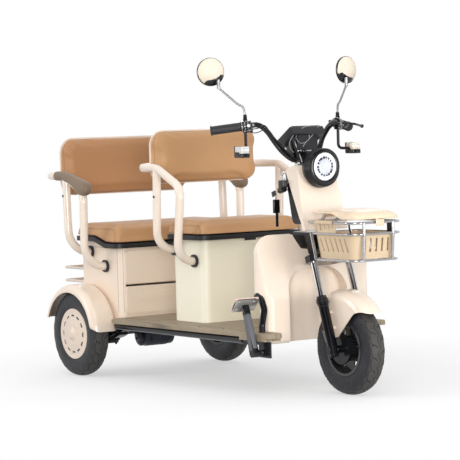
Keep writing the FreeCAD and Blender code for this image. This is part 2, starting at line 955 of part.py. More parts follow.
def steering_stem():
    """Lower crown, steerer tube and the clamp that holds the bar."""
    low = head_tube_bottom - joint_gap - crown_height
    half = leg_y + crown_ear
    front = fork_offset + crown_ear
    plan = [(-crown_reach, -crown_rear_half), (crown_shoulder, -half), (front, -half),
            (front, half), (crown_shoulder, half), (-crown_reach, crown_rear_half)]
    crown = rounded_face([on_fork(x, y, low) for x, y in plan], [crown_round] * len(plan))
    crown = crown.extrude(RAKE_UP * crown_height)
    bores = []
    for side in (-1, 1):
        bores.append(rod(on_fork(fork_offset, side * leg_y, low - overrun),
                         on_fork(fork_offset, side * leg_y, low + crown_height + overrun),
                         stanchion_radius + seat_gap))
    crown = crown.cut(bores)
    steerer = rod(on_fork(0, 0, low), on_fork(0, 0, steerer_top), steerer_radius)
    clamp_x = bar_x_at(bar_clamp_z)
    hole = rod(vec(clamp_x, -leg_y, bar_clamp_z), vec(clamp_x, leg_y, bar_clamp_z), bar_radius + seat_gap)
    return fuse([crown, steerer, clamp_block(0)]).cut(hole)


def bar_x_at(height):
    """Where the steering axis is at a height."""
    return head_x - (height - head_z) * math.tan(rake)


def stanchions():
    top = head_tube_bottom - joint_gap
    leg = rod(on_fork(fork_offset, -leg_y, top - crown_height - stanchion_length),
              on_fork(fork_offset, -leg_y, top), stanchion_radius)
    return both_sides(leg)


def lower_legs():
    """Black fork sliders with a dust collar and a boss for the axle."""
    top = head_tube_bottom - joint_gap - crown_height - stanchion_length
    foot = on_fork(fork_offset, -leg_y, -axle_drop)
    slider = rod(foot, on_fork(fork_offset, -leg_y, top - seat_gap), lower_leg_radius)
    collar = rod(on_fork(fork_offset, -leg_y, top - seat_gap - collar_height),
                 on_fork(fork_offset, -leg_y, top - seat_gap), collar_radius)
    boss = rod(foot - RAKE_UP * axle_boss_radius * 3 / 2, foot, lower_leg_radius - rim_wall / 2)
    leg = fuse([slider, collar, boss])
    bore = rod(FRONT_AXLE - Y_AXIS * (leg_y + tyre_width), FRONT_AXLE, axle_radius + seat_gap)
    return both_sides(leg.cut(bore))


def front_fender():
    """Crowned fender with a wing on each side that reaches down to the fork leg."""
    centre = FRONT_AXLE + X_AXIS * fender_ahead + Z_AXIS * fender_lift
    tip = math.radians(fender_tip_degrees)
    start = X_AXIS * math.cos(tip) + Z_AXIS * math.sin(tip)
    half = fender_half_width
    inner_half = half - fender_wall
    inner = fender_radius - fender_wall
    low = fender_skirt_radius
    section = [(low, -half), (fender_radius, -half), (fender_radius, half), (low, half),
               (low, inner_half), (inner, inner_half), (inner, -inner_half), (low, -inner_half)]
    outside = fender_crown_round
    inside = fender_crown_round - fender_wall
    hood = turned(section, centre, Y_AXIS * -1, start, right_angle * 3 / 2,
                  [0, outside, outside, 0, 0, inside, inside, 0])
    top = tyre_radius + fender_lift + fender_radius + overrun
    reach = fender_ahead + fender_radius + overrun
    side = [
        (fender_rear_top_x - overrun * math.tan(rake), top),
        (fender_wing_rear_x, fender_wing_z),
        (fender_wing_front_x, fender_wing_z),
        (fender_knee_x, fender_knee_z),
        (fender_nose_x, fender_knee_z),
        (reach, fender_nose_z),
        (reach, top),
    ]
    radii = [0, fender_wing_round, fender_wing_round, fender_knee_round, fender_wing_round, 0, 0]
    hood = hood.common(plate_xz(side, radii, -half - overrun, half + overrun))
    lugs = []
    for place in (fender_lug_high, fender_lug_low):
        for side in (-1, 1):
            lugs.append(rod(on_fork(fork_offset, side * inner_half, place - axle_drop),
                            on_fork(fork_offset, side * (leg_y - lower_leg_radius - seat_gap), place - axle_drop),
                            fender_lug_radius))
    return fuse([hood] + lugs)


def shroud_side():
    """Side outline of the head shroud, from its rear top corner down and round to the front."""
    return [
        (shroud_rear_x, shroud_rear_z),
        (shroud_heel_x, shroud_heel_z),
        (shroud_bottom_x - shroud_lip_length, shroud_bottom_z),
        (shroud_bottom_x, shroud_bottom_z),
        (shroud_top_x, shroud_top_z),
    ]


def tapered_front(shrink, rear, front):
    """A slab from rear to front, narrower at the top, that gives the head its front view."""
    top = shroud_top_half_width - shrink
    bottom = shroud_bottom_half_width - shrink
    face = [
        (-bottom, shroud_bottom_z - overrun),
        (bottom, shroud_bottom_z - overrun),
        (bottom, shroud_knee_z),
        (top, shroud_top_z + overrun),
        (-top, shroud_top_z + overrun),
        (-bottom, shroud_knee_z),
    ]
    return plate_yz(face, [0, 0, shroud_knee_round, 0, 0, shroud_knee_round], rear, front)


def cover_body(clearance):
    """The black inner cover, which fills the shroud from behind."""
    points = [
        (cover_rear_x - clearance, cover_rear_z + clearance),
        (cover_heel_x - clearance, cover_heel_z - clearance),
        (shroud_heel_x + cover_overlap + clearance, cover_heel_z - clearance),
        (shroud_rear_x + cover_overlap + clearance, cover_rear_z + clearance),
    ]
    reach = shroud_bottom_half_width + overrun
    side = plate_xz(points, [0, shroud_round, 0, 0], -reach, reach)
    return side.common(tapered_front(cover_inset - clearance, cover_rear_x - overrun, 0))


def steerer_channel():
    return rod(on_fork(0, 0, head_tube_bottom), on_fork(0, 0, steerer_top + 2 * overrun), steerer_radius + seat_gap)


def clamp_block(clearance):
    """The block on top of the steerer that holds the bar."""
    reach = bar_clamp_half + clearance
    clamp_x = bar_x_at(bar_clamp_z)
    return rounded_block(vec(clamp_x - reach, -reach, bar_clamp_z - reach),
                         vec(clamp_x + reach, reach, bar_clamp_z + reach), cluster_round, cluster_round / 2)


def lamp_pod(clearance):
    """Bellied lamp housing, widest a little behind its ring, whose axis lies a little below the ring's."""
    belly = lamp_belly_radius + clearance
    outline = [
        (0, clearance),
        (lamp_radius + clearance, clearance),
        (belly, -lamp_belly_back),
        (lamp_rear_radius + clearance, -lamp_depth - clearance),
        (0, -lamp_depth - clearance),
    ]
    centre = vec(lamp_face_x, 0, lamp_z - lamp_drop)
    return turned(outline, centre, X_AXIS, Z_AXIS, full_turn, [0, cluster_round / 2, 2 * cluster_round, 0, 0])


def head_shroud():
    reach = shroud_bottom_half_width + overrun
    side = plate_xz(shroud_side(), [0, shroud_round, shroud_lip_round, shroud_lip_round, shroud_round],
                    -reach, reach)
    body = side.common(tapered_front(0, shroud_rear_x - overrun, 0))
    return body.cut([cover_body(seat_gap), steerer_channel(), clamp_block(seat_gap), lamp_pod(seat_gap)])


def head_cover():
    """Black inner cover with the barrel of the ignition lock."""
    cover = cover_body(0).cut([steerer_channel(), clamp_block(seat_gap), lamp_pod(seat_gap)])
    return fuse([cover, ignition_lock()])


def headlight_bowl():
    lens = vec(lamp_face_x, 0, lamp_z)
    seat = rod(lens - X_AXIS * lamp_rim, lens + X_AXIS * overrun, lamp_lens_radius + seat_gap)
    return lamp_pod(0).cut([seat, steerer_channel(), clamp_block(seat_gap)])


def headlight_lens():
    lens = vec(lamp_face_x, 0, lamp_z)
    return rod(lens - X_AXIS * (lamp_rim - seat_gap), lens, lamp_lens_radius)


def bar_points(side):
    """The bar from its clamp out to one grip's end."""
    return [
        vec(bar_x_at(bar_clamp_z), 0, bar_clamp_z),
        vec(bar_x_at(bar_clamp_z), side * bar_low_y, bar_clamp_z),
        vec(bar_rise_x, side * bar_rise_y, bar_rise_z),
        vec(bar_top_x, side * bar_top_y, bar_top_z),
        vec(bar_bend_x, side * bar_bend_y, bar_bend_z),
        vec(bar_end_x, side * bar_end_y, bar_end_z),
    ]


def handlebar():
    left = bar_points(1)
    points = flip(left)[:-1] + left[1:]
    bends = [bar_bend_radius / 2, bar_bend_radius / 2, bar_bend_radius, bar_bend_radius]
    return pipe(points, bends + bends[::-1], bar_radius)


def grip_run(side, start, length):
    """Two points on the straight end of the bar, start being counted from its tip."""
    points = bar_points(side)
    inward = (points[4] - points[5]).normalize()
    first = points[5] + inward * start
    return first, first + inward * length


def hollow_rod(start, end, radius, bore):
    run = (end - start).normalize()
    return rod(start, end, radius).cut(rod(start - run * overrun, end + run * overrun, bore))


def grips():
    first, last = grip_run(-1, 0, grip_length)
    return both_sides(hollow_rod(first, last, grip_radius, bar_radius + seat_gap))


def controls():
    """Switch housings clamped on the bar beside each grip, with the brake lever on the left."""
    start, end = grip_run(-1, grip_length + seat_gap, cluster_length)
    housing = hollow_rod(start, end, cluster_half_height, bar_radius + seat_gap)
    first, last = grip_run(-1, grip_length + cluster_length / 2, 0)
    outward = (bar_points(-1)[5] - bar_points(-1)[4]).normalize()
    ahead = outward.cross(Z_AXIS).normalize() * -1
    if ahead.x < 0:
        ahead = ahead * -1
    pivot = first + ahead * (cluster_half_height - lever_radius)
    knee = pivot + ahead * (lever_reach / 2) + outward * (lever_reach / 2)
    tip = knee + outward * (lever_length - lever_reach)
    blade = pipe([pivot, knee, tip], [lever_reach / 4], lever_radius)
    ball = Part.makeSphere(lever_ball_radius, tip)
    bore = rod(start, end, bar_radius + seat_gap)
    return Part.makeCompound([housing, mirrored(fuse([housing, blade, ball]).cut(bore))])


def cables():
    """Control cables from the housings along the bar to the back of the lamp."""
    start, end = grip_run(1, grip_length, cluster_length)
    inward = (end - start).normalize()
    ahead = inward.cross(Z_AXIS).normalize()
    if ahead.x < 0:
        ahead = ahead * -1
    offset = (cluster_half_height + bar_radius) / 2
    first = end + inward * (2 * seat_gap) + ahead * offset
    side = [vec(point.x + cable_stand_off, point.y, point.z) for point in bar_points(1)]
    lamp_rear_x = lamp_face_x - lamp_depth
    points = [
        first,
        vec(side[4].x + cable_radius, side[4].y, side[4].z),
        side[3],
        side[2],
        vec(cable_clamp_x, cable_clamp_y, cable_clamp_z),
        vec(lamp_rear_x - cable_stand_off, cable_end_y, cable_clamp_z),
        vec(lamp_rear_x, cable_end_y, cable_clamp_z),
    ]
    return both_sides(pipe(points, tangent_radii(points), cable_radius))


def tangent_radii(points):
    """The largest even arcs that the runs on both sides of each inner point leave room for."""
    radii = []
    for before, at, after in zip(points, points[1:], points[2:]):
        first = at - before
        second = after - at
        shorter = min(first.Length, second.Length)
        turn = first.getAngle(second)
        radii.append(arc_share * shorter / math.tan(turn / 2))
    return radii


def housing_offset(radius):
    """How far straight above or below a housing's middle a round foot just clears it."""
    start, end = grip_run(-1, grip_length, cluster_length)
    rise = abs((end - start).normalize().z)
    return (cluster_half_height + radius * rise) / math.sqrt(1 - rise ** 2) + seat_gap


def mirror_frame(side):
    """Centre of a mirror and the way its glass looks."""
    toe = math.radians(mirror_toe_degrees)
    centre = vec(mirror_x, side * mirror_y, mirror_z)
    look = vec(-math.cos(toe), side * math.sin(toe), 0)
    return centre, look


def mirrors():
    """Domed backs on bent stems, with a recess for the glass."""
    centre, look = mirror_frame(-1)
    edge = Part.makeCylinder(mirror_radius, mirror_depth / 3, centre, look)
    ball_radius = (mirror_radius ** 2 + mirror_depth ** 2) / (2 * mirror_depth)
    ball = Part.makeSphere(ball_radius, centre + look * (ball_radius - mirror_depth))
    dome = ball.common(Part.makeCylinder(mirror_radius, ball_radius, centre, look * -1))
    recess = Part.makeCylinder(mirror_radius - mirror_glass_inset + seat_gap, mirror_depth,
                               centre + look * (mirror_depth / 3 - mirror_glass_thickness - seat_gap), look)
    shell = fuse([edge, dome]).cut(recess)
    return both_sides(fuse([shell, mirror_stem()]))


def mirror_glasses():
    centre, look = mirror_frame(-1)
    return both_sides(Part.makeCylinder(mirror_radius - mirror_glass_inset, mirror_glass_thickness,
                                        centre + look * (mirror_depth / 3 - mirror_glass_thickness), look))


def mirror_stem():
    """Bent stem with its base nut and a wedge-shaped joint under the shell."""
    centre, look = mirror_frame(-1)
    first, last = grip_run(-1, grip_length + cluster_length / 2, 0)
    foot = first + Z_AXIS * housing_offset(mirror_base_radius)
    knee = foot + Z_AXIS * mirror_stem_rise
    rim = centre - Z_AXIS * (mirror_radius - overrun / 2)
    wedge_low = rim - Z_AXIS * mirror_wedge_length
    stem = pipe([foot, knee, wedge_low], [mirror_stem_bend], mirror_stem_radius)
    wedge = cone(wedge_low, rim, mirror_stem_radius, mirror_base_radius)
    base = cone(foot, foot + Z_AXIS * mirror_base_height, mirror_base_radius, mirror_base_top_radius)
    rim_cut = Part.makeCylinder(mirror_radius - seat_gap, 2 * mirror_depth, centre - look * mirror_depth, look)
    return fuse([stem, wedge, base]).cut(rim_cut)


def dash_box():
    run = vec(dash_front_x - dash_rear_x, 0, dash_front_z - dash_rear_z)
    down = run.cross(Y_AXIS).normalize() * dash_thickness
    if down.z > 0:
        down = down * -1
    points = [
        (dash_rear_x, dash_rear_z),
        (dash_front_x, dash_front_z),
        (dash_front_x + down.x, dash_front_z + down.z),
        (dash_rear_x + down.x, dash_rear_z + down.z),
    ]
    body = plate_xz(points, [dash_round] * len(points), -dash_half_width, dash_half_width)
    stem_x = bar_x_at(bar_clamp_z)
    middle_z = (dash_rear_z + dash_front_z) / 2
    stem = box(vec(stem_x - dash_stem_half, -dash_stem_half_width, bar_clamp_z + bar_clamp_half + seat_gap),
               vec(stem_x + dash_stem_half, dash_stem_half_width, middle_z))
    return fuse([body, stem])


def indicators():
    """Lamp bodies hung from the bar on bent stalks."""
    middle, last = grip_run(-1, grip_length + cluster_length / 2, 0)
    root = middle - Z_AXIS * housing_offset(indicator_stalk_radius)
    stalk = pipe([root, vec(root.x, root.y, indicator_z),
                  vec(indicator_x, -indicator_y + indicator_half_width, indicator_z)],
                 [3 * indicator_stalk_radius], indicator_stalk_radius)
    low = vec(indicator_x - indicator_length / 2, -indicator_y - indicator_half_width,
              indicator_z - indicator_half_height)
    high = vec(indicator_x + indicator_length / 2, -indicator_y + indicator_half_width - seat_gap,
               indicator_z + indicator_half_height)
    body = rounded_block(low, high, cluster_round, cluster_round / 2, cluster_round / 2)
    return both_sides(fuse([stalk, body]))


def ignition_lock():
    drop = lock_drop_share
    run = vec(cover_heel_x - cover_rear_x, 0, cover_heel_z - cover_rear_z)
    face = vec(cover_rear_x, -lock_y, cover_rear_z) + run * drop
    out = run.cross(Y_AXIS).normalize()
    if out.x > 0:
        out = out * -1
    start = face - out * overrun
    return Part.makeCylinder(lock_radius, lock_length + overrun, start, out)


def basket_outline(inset, height):
    """Plan of the basket at one height, set in by an amount."""
    low_x = basket_rear_x + inset
    high_x = basket_front_x - inset
    half = basket_half_width - inset
    points = [vec(low_x, -half, height), vec(high_x, -half, height),
              vec(high_x, half, height), vec(low_x, half, height)]
    return rounded_face(points, [basket_corner - inset / 2] * len(points))


def basket_liner():
    """Tapered tray with slotted sides, open at the top, and a hook panel on its right."""
    rim = wire_radius
    outer = Part.makeLoft([basket_outline(basket_taper, basket_floor_z).OuterWire,
                           basket_outline(rim, basket_rim_z).OuterWire], True)
    inner = Part.makeLoft([basket_outline(basket_taper + basket_wall, basket_floor_z + basket_wall).OuterWire,
                           basket_outline(rim + basket_wall, basket_rim_z + seat_gap).OuterWire], True)
    tray = outer.cut(inner)
    cuts = []
    length = basket_length - 2 * basket_corner
    reach = 2 * basket_half_width
    for i in range(side_slot_count):
        x = basket_rear_x + basket_corner + length * (i + 1 / 2) / side_slot_count
        cuts.append(leaning_slot(x, basket_slot_low_z, basket_slot_high_z, -reach, reach))
    width = 2 * (basket_half_width - basket_corner)
    for i in range(front_slot_count):
        y = -width / 2 + width * (i + 1 / 2) / front_slot_count
        cuts.append(box(vec(basket_front_x - 2 * basket_taper - basket_wall, y - basket_slot_width / 2,
                            basket_slot_low_z),
                        vec(basket_front_x + overrun, y + basket_slot_width / 2, basket_slot_high_z)))
    return fuse([tray.cut(cuts), hook_panel()])


def leaning_slot(x, low, high, start, end):
    """A slot through a side wall that leans back toward its top."""
    lean = (high - low) * basket_slot_lean_share / 2
    half = basket_slot_width / 2
    corners = [(x + lean - half, low), (x + lean + half, low), (x - lean + half, high), (x - lean - half, high)]
    return plate_xz(corners, [0] * len(corners), start, end)


def hook_panel():
    """The liner's raised right side, which hooks over the upper ring and has slots of its own."""
    rise = vec(0, 0, basket_side_z - basket_rim_z)
    ring = basket_outline(wire_radius, basket_rim_z).extrude(rise)
    ring = ring.cut(basket_outline(wire_radius + basket_wall, basket_rim_z).extrude(rise * 2))
    end_x = basket_rear_x + basket_side_length
    kept = box(vec(basket_rear_x, -basket_half_width, basket_rim_z),
               vec(end_x, basket_corner - basket_half_width, basket_side_z))
    panel = ring.common(kept)
    inner = wire_radius - basket_half_width
    outer = inner - hook_reach
    start_x = basket_rear_x + basket_corner
    top = box(vec(start_x, outer, basket_side_z - hook_wall), vec(end_x, inner + basket_wall, basket_side_z))
    lip = box(vec(start_x, outer, basket_side_z - hook_lip), vec(end_x, outer + hook_wall, basket_side_z))
    cuts = []
    for i in range(hook_slot_count):
        x = start_x + (end_x - start_x) * (i + 1 / 2) / hook_slot_count
        cuts.append(leaning_slot(x, hook_slot_low_z, hook_slot_high_z, -2 * basket_half_width, 0))
    return fuse([panel.cut(cuts), top, lip])


def wire_ring(rear_x, height, inset):
    half = basket_half_width + wire_radius - inset
    front = basket_front_x + wire_radius - inset
    points = [vec(rear_x, -half, height), vec(front, -half, height),
              vec(front, half, height), vec(rear_x, half, height)]
    path = rounded_face(points, [basket_corner - inset / 2] * len(points)).OuterWire
    first = path.Edges[0]
    circle = Part.Wire([Part.makeCircle(wire_radius, first.valueAt(first.FirstParameter),
                                        first.tangentAt(first.FirstParameter))])
    return path.makePipeShell([circle], True, False)


def basket_frame():
    """Chromed rings joined by upright wires, the bracket to the fork crown and the lid's hinge pin."""
    top_half = basket_half_width + wire_radius
    low_inset = basket_taper - 2 * wire_radius
    low_z = ring_low_z - wire_radius
    pieces = [
        wire_ring(ring_back_x, ring_top_z, 0),
        wire_ring(basket_rear_x - wire_radius, ring_mid_z, 0),
        wire_ring(basket_rear_x + low_inset, low_z, low_inset),
    ]
    for side in (-1, 1):
        pieces.append(rod(vec(basket_rear_x + basket_stay_back, side * (top_half - low_inset), low_z),
                          vec(basket_rear_x, side * (top_half - overrun / 2), ring_mid_z), upright_radius))
        y = side * (basket_half_width - basket_corner)
        front = basket_front_x + wire_radius
        pieces.append(pipe([vec(front - low_inset, y, low_z), vec(front, y, ring_mid_z), vec(front, y, ring_top_z)],
                           [basket_corner], upright_radius))
        stay = side * bracket_half_width
        pieces.append(rod(vec(basket_rear_x + low_inset, stay, ring_low_z - stay_radius),
                          vec(front - low_inset, stay, ring_low_z - stay_radius), stay_radius))
    pieces.append(basket_bracket())
    return fuse(pieces + lid_lugs())


def lid_lugs():
    """Pin and its two lugs on the top ring's rear wire."""
    half = lid_hinge_half + joint_gap + lid_lug_thickness
    pin = vec(lid_pin_x, 0, lid_pin_z)
    pieces = [rod(pin - Y_AXIS * half, pin + Y_AXIS * half, lid_pin_radius)]
    for side in (-1, 1):
        start = min(side * (lid_hinge_half + joint_gap), side * half)
        foot = vec(ring_back_x, start, ring_top_z)
        head = vec(lid_pin_x, start, lid_pin_z)
        thick = Y_AXIS * lid_lug_thickness
        across = (head - foot).normalize().cross(Y_AXIS) * lid_knuckle_radius
        face = rounded_face([foot - across, foot + across, head + across, head - across], [0] * 4)
        pieces.append(face.extrude(thick))
        pieces.append(rod(foot, foot + thick, lid_knuckle_radius))
        pieces.append(rod(head, head + thick, lid_knuckle_radius))
    return pieces


def basket_bracket():
    """Angle plate from the fork crown's front face to the basket's lowest ring."""
    low = ring_low_z - wire_radius - bracket_thickness
    high = low + crown_height
    face = on_fork(fork_offset + crown_ear + seat_gap, 0, 0)
    low_x = face.x - (low - face.z) * math.tan(rake)
    high_x = face.x - (high - face.z) * math.tan(rake)
    end = basket_front_x - 2 * basket_corner
    points = [
        (low_x, low),
        (end, low),
        (end, low + bracket_thickness),
        (low_x + bracket_thickness, low + bracket_thickness),
        (high_x + bracket_thickness, high),
        (high_x, high),
    ]
    return plate_xz(points, [0] * len(points), -bracket_half_width, bracket_half_width)


def lid_form(inset, drop):
    """The lid's outside, or the hollow under it when it is set in and lowered."""
    rear = lid_rear_x + inset
    front = basket_front_x + lid_front_reach - inset
    half = lid_half_width - inset
    top = lid_top_z - inset
    length = front - rear
    side = [
        (rear, lid_rear_low_z - drop),
        (rear + length * lid_step_rear_share, lid_rear_low_z - drop),
        (rear + length * lid_step_front_share, lid_belly_z - drop),
        (front, lid_low_z - drop),
        (front, top),
        (rear, top),
    ]
    form = plate_xz(side, [0, lid_step_round, lid_step_round, 0, lid_side_round, lid_wall], -half, half)
    plan = [(rear, -half), (front, -half), (front, half), (rear, half)]
    form = form.common(plate_xy(plan, [lid_corner - inset] * len(plan), lid_low_z - drop - overrun, top + overrun))
    view = [(-half, lid_low_z - drop - overrun), (half, lid_low_z - drop - overrun), (half, top), (-half, top)]
    return form.common(plate_yz(view, [0, 0, lid_side_round, lid_side_round], rear, front))


def basket_lid():
    """Moulded lid above the top ring, hollow underneath, with its hinge knuckle and a clasp in front."""
    shell = lid_form(0, 0).cut(lid_form(lid_wall, overrun))
    front = basket_front_x + lid_front_reach
    tab_end = front + lid_gap + lid_tab_thickness
    bridge = box(vec(front - lid_wall, -lid_tab_half, lid_low_z),
                 vec(tab_end, lid_tab_half, lid_low_z + lid_wall))
    tab = box(vec(tab_end - lid_tab_thickness, -lid_tab_half, lid_low_z - lid_tab_drop),
              vec(tab_end, lid_tab_half, lid_low_z + lid_wall))
    pin = vec(lid_pin_x, 0, lid_pin_z)
    reach = Y_AXIS * lid_hinge_half
    knuckle = rod(pin - reach, pin + reach, lid_knuckle_radius)
    rib = box(vec(lid_pin_x, -lid_hinge_half, lid_pin_z),
              vec(lid_pin_x + 2 * lid_knuckle_radius, lid_hinge_half, lid_top_z - lid_wall))
    bore = rod(pin - reach * 2, pin + reach * 2, lid_pin_radius + joint_gap)
    return fuse([shell, bridge, tab, knuckle, rib]).cut(bore)


def seat_hinge_axis(front_x, tray_z):
    """Point on a seat's hinge axis, just ahead of its box and under its tray."""
    return vec(front_x + seat_hinge_radius + 2 * joint_gap, 0, tray_z - seat_hinge_radius - joint_gap)


def hinge_lugs(axis_point):
    """Pin and its two lugs, which belong to the box."""
    pin = seat_hinge_radius / 2
    outer = seat_hinge_length / 2 + 2 * seat_hinge_radius
    inner = seat_hinge_length / 2 + joint_gap
    pieces = [rod(axis_point - Y_AXIS * outer, axis_point + Y_AXIS * outer, pin)]
    for side in (-1, 1):
        pieces.append(rod(axis_point + Y_AXIS * (side * inner), axis_point + Y_AXIS * (side * outer),
                          seat_hinge_radius))
        low_y = min(side * inner, side * outer)
        pieces.append(box(vec(axis_point.x - 2 * seat_hinge_radius, low_y, axis_point.z - seat_hinge_radius),
                          vec(axis_point.x, low_y + outer - inner, axis_point.z)))
    return pieces


def hinge_knuckle(axis_point):
    """Knuckle under the tray, with a short rib up to it."""
    half = seat_hinge_length / 2
    pin = seat_hinge_radius / 2
    knuckle = rod(axis_point - Y_AXIS * half, axis_point + Y_AXIS * half, seat_hinge_radius)
    rib = box(vec(axis_point.x, -half, axis_point.z), vec(axis_point.x + seat_hinge_radius, half,
                                                         axis_point.z + 2 * seat_hinge_radius))
    reach = Y_AXIS * (half + overrun)
    bore = rod(axis_point - reach, axis_point + reach, pin + joint_gap)
    return fuse([knuckle, rib]).cut(bore)


def front_seat_box():
    top = front_tray_z - seat_gap
    low = vec(seat_box_rear_x, -seat_box_half_width, floor_top + seat_gap)
    outer = rounded_block(low, vec(seat_box_front_x, seat_box_half_width, top), seat_box_corner)
    inner = rounded_block(low + vec(wall, wall, wall),
                          vec(seat_box_front_x - wall, seat_box_half_width - wall, top + overrun),
                          seat_box_corner - wall)
    hinge = hinge_lugs(seat_hinge_axis(seat_box_front_x, front_tray_z))
    return fuse([outer.cut(inner)] + hinge)


def front_seat_tray():
    low = vec(seat_box_rear_x - wall, -front_cushion_half_width, front_tray_z)
    high = vec(front_cushion_front_x, front_cushion_half_width, front_tray_z + tray_height)
    tray = rounded_block(low, high, cushion_corner)
    axis_point = seat_hinge_axis(seat_box_front_x, front_tray_z)
    return fuse([tray, hinge_knuckle(axis_point)])


def front_cushion():
    low = vec(seat_box_rear_x - wall, -front_cushion_half_width, front_tray_z + tray_height + seat_gap)
    high = vec(front_cushion_front_x, front_cushion_half_width, front_cushion_top_z)
    return rounded_block(low, high, cushion_corner, cushion_round)


def rear_top_line(raise_by):
    """The stepped line on which the rear seat's tray rests, from front to rear."""
    return [
        (rear_cushion_front_x + overrun, rear_tray_low_z + raise_by),
        (rear_step_front_x, rear_tray_low_z + raise_by),
        (rear_step_rear_x, rear_tray_high_z + raise_by),
        (rear_cushion_rear_x - overrun, rear_tray_high_z + raise_by),
    ]


def under_rear_line(raise_by):
    """Everything below the stepped line."""
    line = rear_top_line(raise_by)
    points = line + [(rear_cushion_rear_x - overrun, 0), (rear_cushion_front_x + overrun, 0)]
    radii = [0, rear_step_round, rear_step_round, 0, 0, 0]
    return plate_xz(points, radii, -floor_rear_half_width, floor_rear_half_width)


def rear_box():
    """Hollow body under the rear seat, with a slot between its two front panels."""
    low = vec(rear_box_rear_x, -rear_box_half_width, floor_bottom + seat_gap)
    high = vec(rear_box_front_x, rear_box_half_width, rear_tray_high_z)
    outer = rounded_block(low, high, rear_box_corner).common(under_rear_line(-seat_gap))
    inner = rounded_block(low + vec(wall, wall, wall), high + vec(-wall, -wall, overrun), rear_box_corner - wall)
    half = rear_box_half_width - panel_side_inset
    slot = box(vec(rear_box_front_x - overrun, -half, panel_slot_z),
               vec(rear_box_front_x + overrun, half, panel_slot_z + panel_slot_height))
    hinge = hinge_lugs(seat_hinge_axis(rear_box_front_x, rear_tray_low_z))
    return fuse([outer.cut([inner, slot])] + hinge)


def rear_panels():
    half = rear_box_half_width - panel_side_inset
    start = rear_box_front_x + seat_gap
    spans = [(panel_low_z, panel_slot_z - rim_wall),
             (panel_slot_z + panel_slot_height + rim_wall, panel_high_z)]
    plates = []
    for low, high in spans:
        corners = [(-half, low), (half, low), (half, high), (-half, high)]
        plates.append(plate_yz(corners, [panel_round] * len(corners), start, start + panel_thickness))
    reach = half * emboss_share
    corners = [(-reach, emboss_low_z), (reach, emboss_low_z), (reach, emboss_high_z), (-reach, emboss_high_z)]
    soft = (emboss_high_z - emboss_low_z) / 2 - seat_gap
    bead = plate_yz(corners, [soft] * len(corners), start, start + panel_thickness + emboss_rise)
    plates[0] = fuse([plates[0], bead])
    return Part.makeCompound(plates)


def rear_seat_slab(low_raise, high_z, top_round):
    """Part of the rear seat between the stepped line and a height."""
    low = vec(rear_cushion_rear_x, -rear_cushion_half_width, rear_tray_low_z)
    high = vec(rear_cushion_front_x, rear_cushion_half_width, high_z)
    slab = rounded_block(low, high, cushion_corner, top_round)
    return slab.cut(under_rear_line(low_raise))


def rear_seat_tray():
    slab = rear_seat_slab(0, rear_cushion_top_z, 0).common(under_rear_line(tray_height))
    axis_point = seat_hinge_axis(rear_box_front_x, rear_tray_low_z)
    return fuse([slab, hinge_knuckle(axis_point)])


def rear_cushion():
    return rear_seat_slab(tray_height + seat_gap, rear_cushion_top_z, cushion_round)


def back_pad(bar_x, bar_z, half, low, high):
    """Padded front of a backrest."""
    start = bar_x + hoop_radius + back_stand_off + seat_gap + back_shell_thickness
    corners = [(-half, low), (half, low), (half, high), (-half, high)]
    pad = plate_yz(corners, [back_round] * len(corners), start, start + back_pad_thickness)
    front = [e for e in pad.Edges if abs(e.BoundBox.XMin - start - back_pad_thickness) < seat_gap]
    return pad.makeFillet(back_edge_round, front)


def back_shell(bar_x, bar_z, half, low, high):
    """Moulded rear shell of a backrest, with two feet that reach the hoop's cross bar."""
    start = bar_x + hoop_radius + back_stand_off
    corners = [(-half, low), (half, low), (half, high), (-half, high)]
    shell = plate_yz(corners, [back_round] * len(corners), start, start + back_shell_thickness)
    rear = [e for e in shell.Edges if abs(e.BoundBox.XMax - start) < seat_gap]
    shell = shell.makeFillet(back_shell_thickness / 2, rear)
    pieces = [shell]
    for side in (-1, 1):
        y = side * half * back_foot_share
        pieces.append(rod(vec(bar_x + hoop_radius + seat_gap, y, bar_z),
                          vec(start + back_shell_thickness / 2, y, bar_z), back_foot_radius))
    return fuse(pieces)


def hoop(bar_x, bar_z, side_y, shoulder_x, elbow_x, elbow_z, foot_x, foot_z, wall_y, plan_bend, rear_post):
    """One bent tube from side wall to side wall, with a second post on each side."""
    end_y = wall_y + seat_gap
    right = [
        vec(foot_x, -end_y, foot_z),
        vec(foot_x, -side_y, foot_z),
        vec(elbow_x, -side_y, elbow_z),
        vec(shoulder_x, -side_y, bar_z),
        vec(bar_x, -side_y, bar_z),
    ]
    bends = [side_y - wall_y - grommet_thickness, hoop_elbow_bend, 2 * hoop_elbow_bend, plan_bend]
    main = pipe(right + flip(right), bends + bends[::-1], hoop_radius)
    post_x, post_foot_x, post_foot_z = rear_post
    post = pipe([vec(post_x, -side_y, bar_z - hoop_radius / 2),
                 vec(post_foot_x, -side_y, post_foot_z),
                 vec(post_foot_x, -end_y, post_foot_z)], [bends[0]], hoop_radius)
    return fuse([main, post, mirrored(post)])


def front_hoop():
    return hoop(front_hoop_bar_x, front_hoop_bar_z, front_hoop_y, front_hoop_rear_post_x, front_hoop_post_x,
                front_hoop_elbow_z, front_hoop_foot_x, front_hoop_foot_z, seat_box_half_width,
                front_hoop_plan_bend,
                (front_hoop_rear_post_x, front_hoop_rear_foot_x, front_hoop_rear_foot_z))


def rear_hoop():
    return hoop(rear_hoop_bar_x, rear_hoop_bar_z, rear_hoop_y, rear_hoop_rear_post_x, rear_hoop_post_x,
                rear_hoop_elbow_z, rear_hoop_foot_x, rear_hoop_foot_z, rear_box_half_width,
                rear_hoop_plan_bend,
                (rear_hoop_rear_post_x, rear_hoop_rear_foot_x, rear_hoop_rear_foot_z))


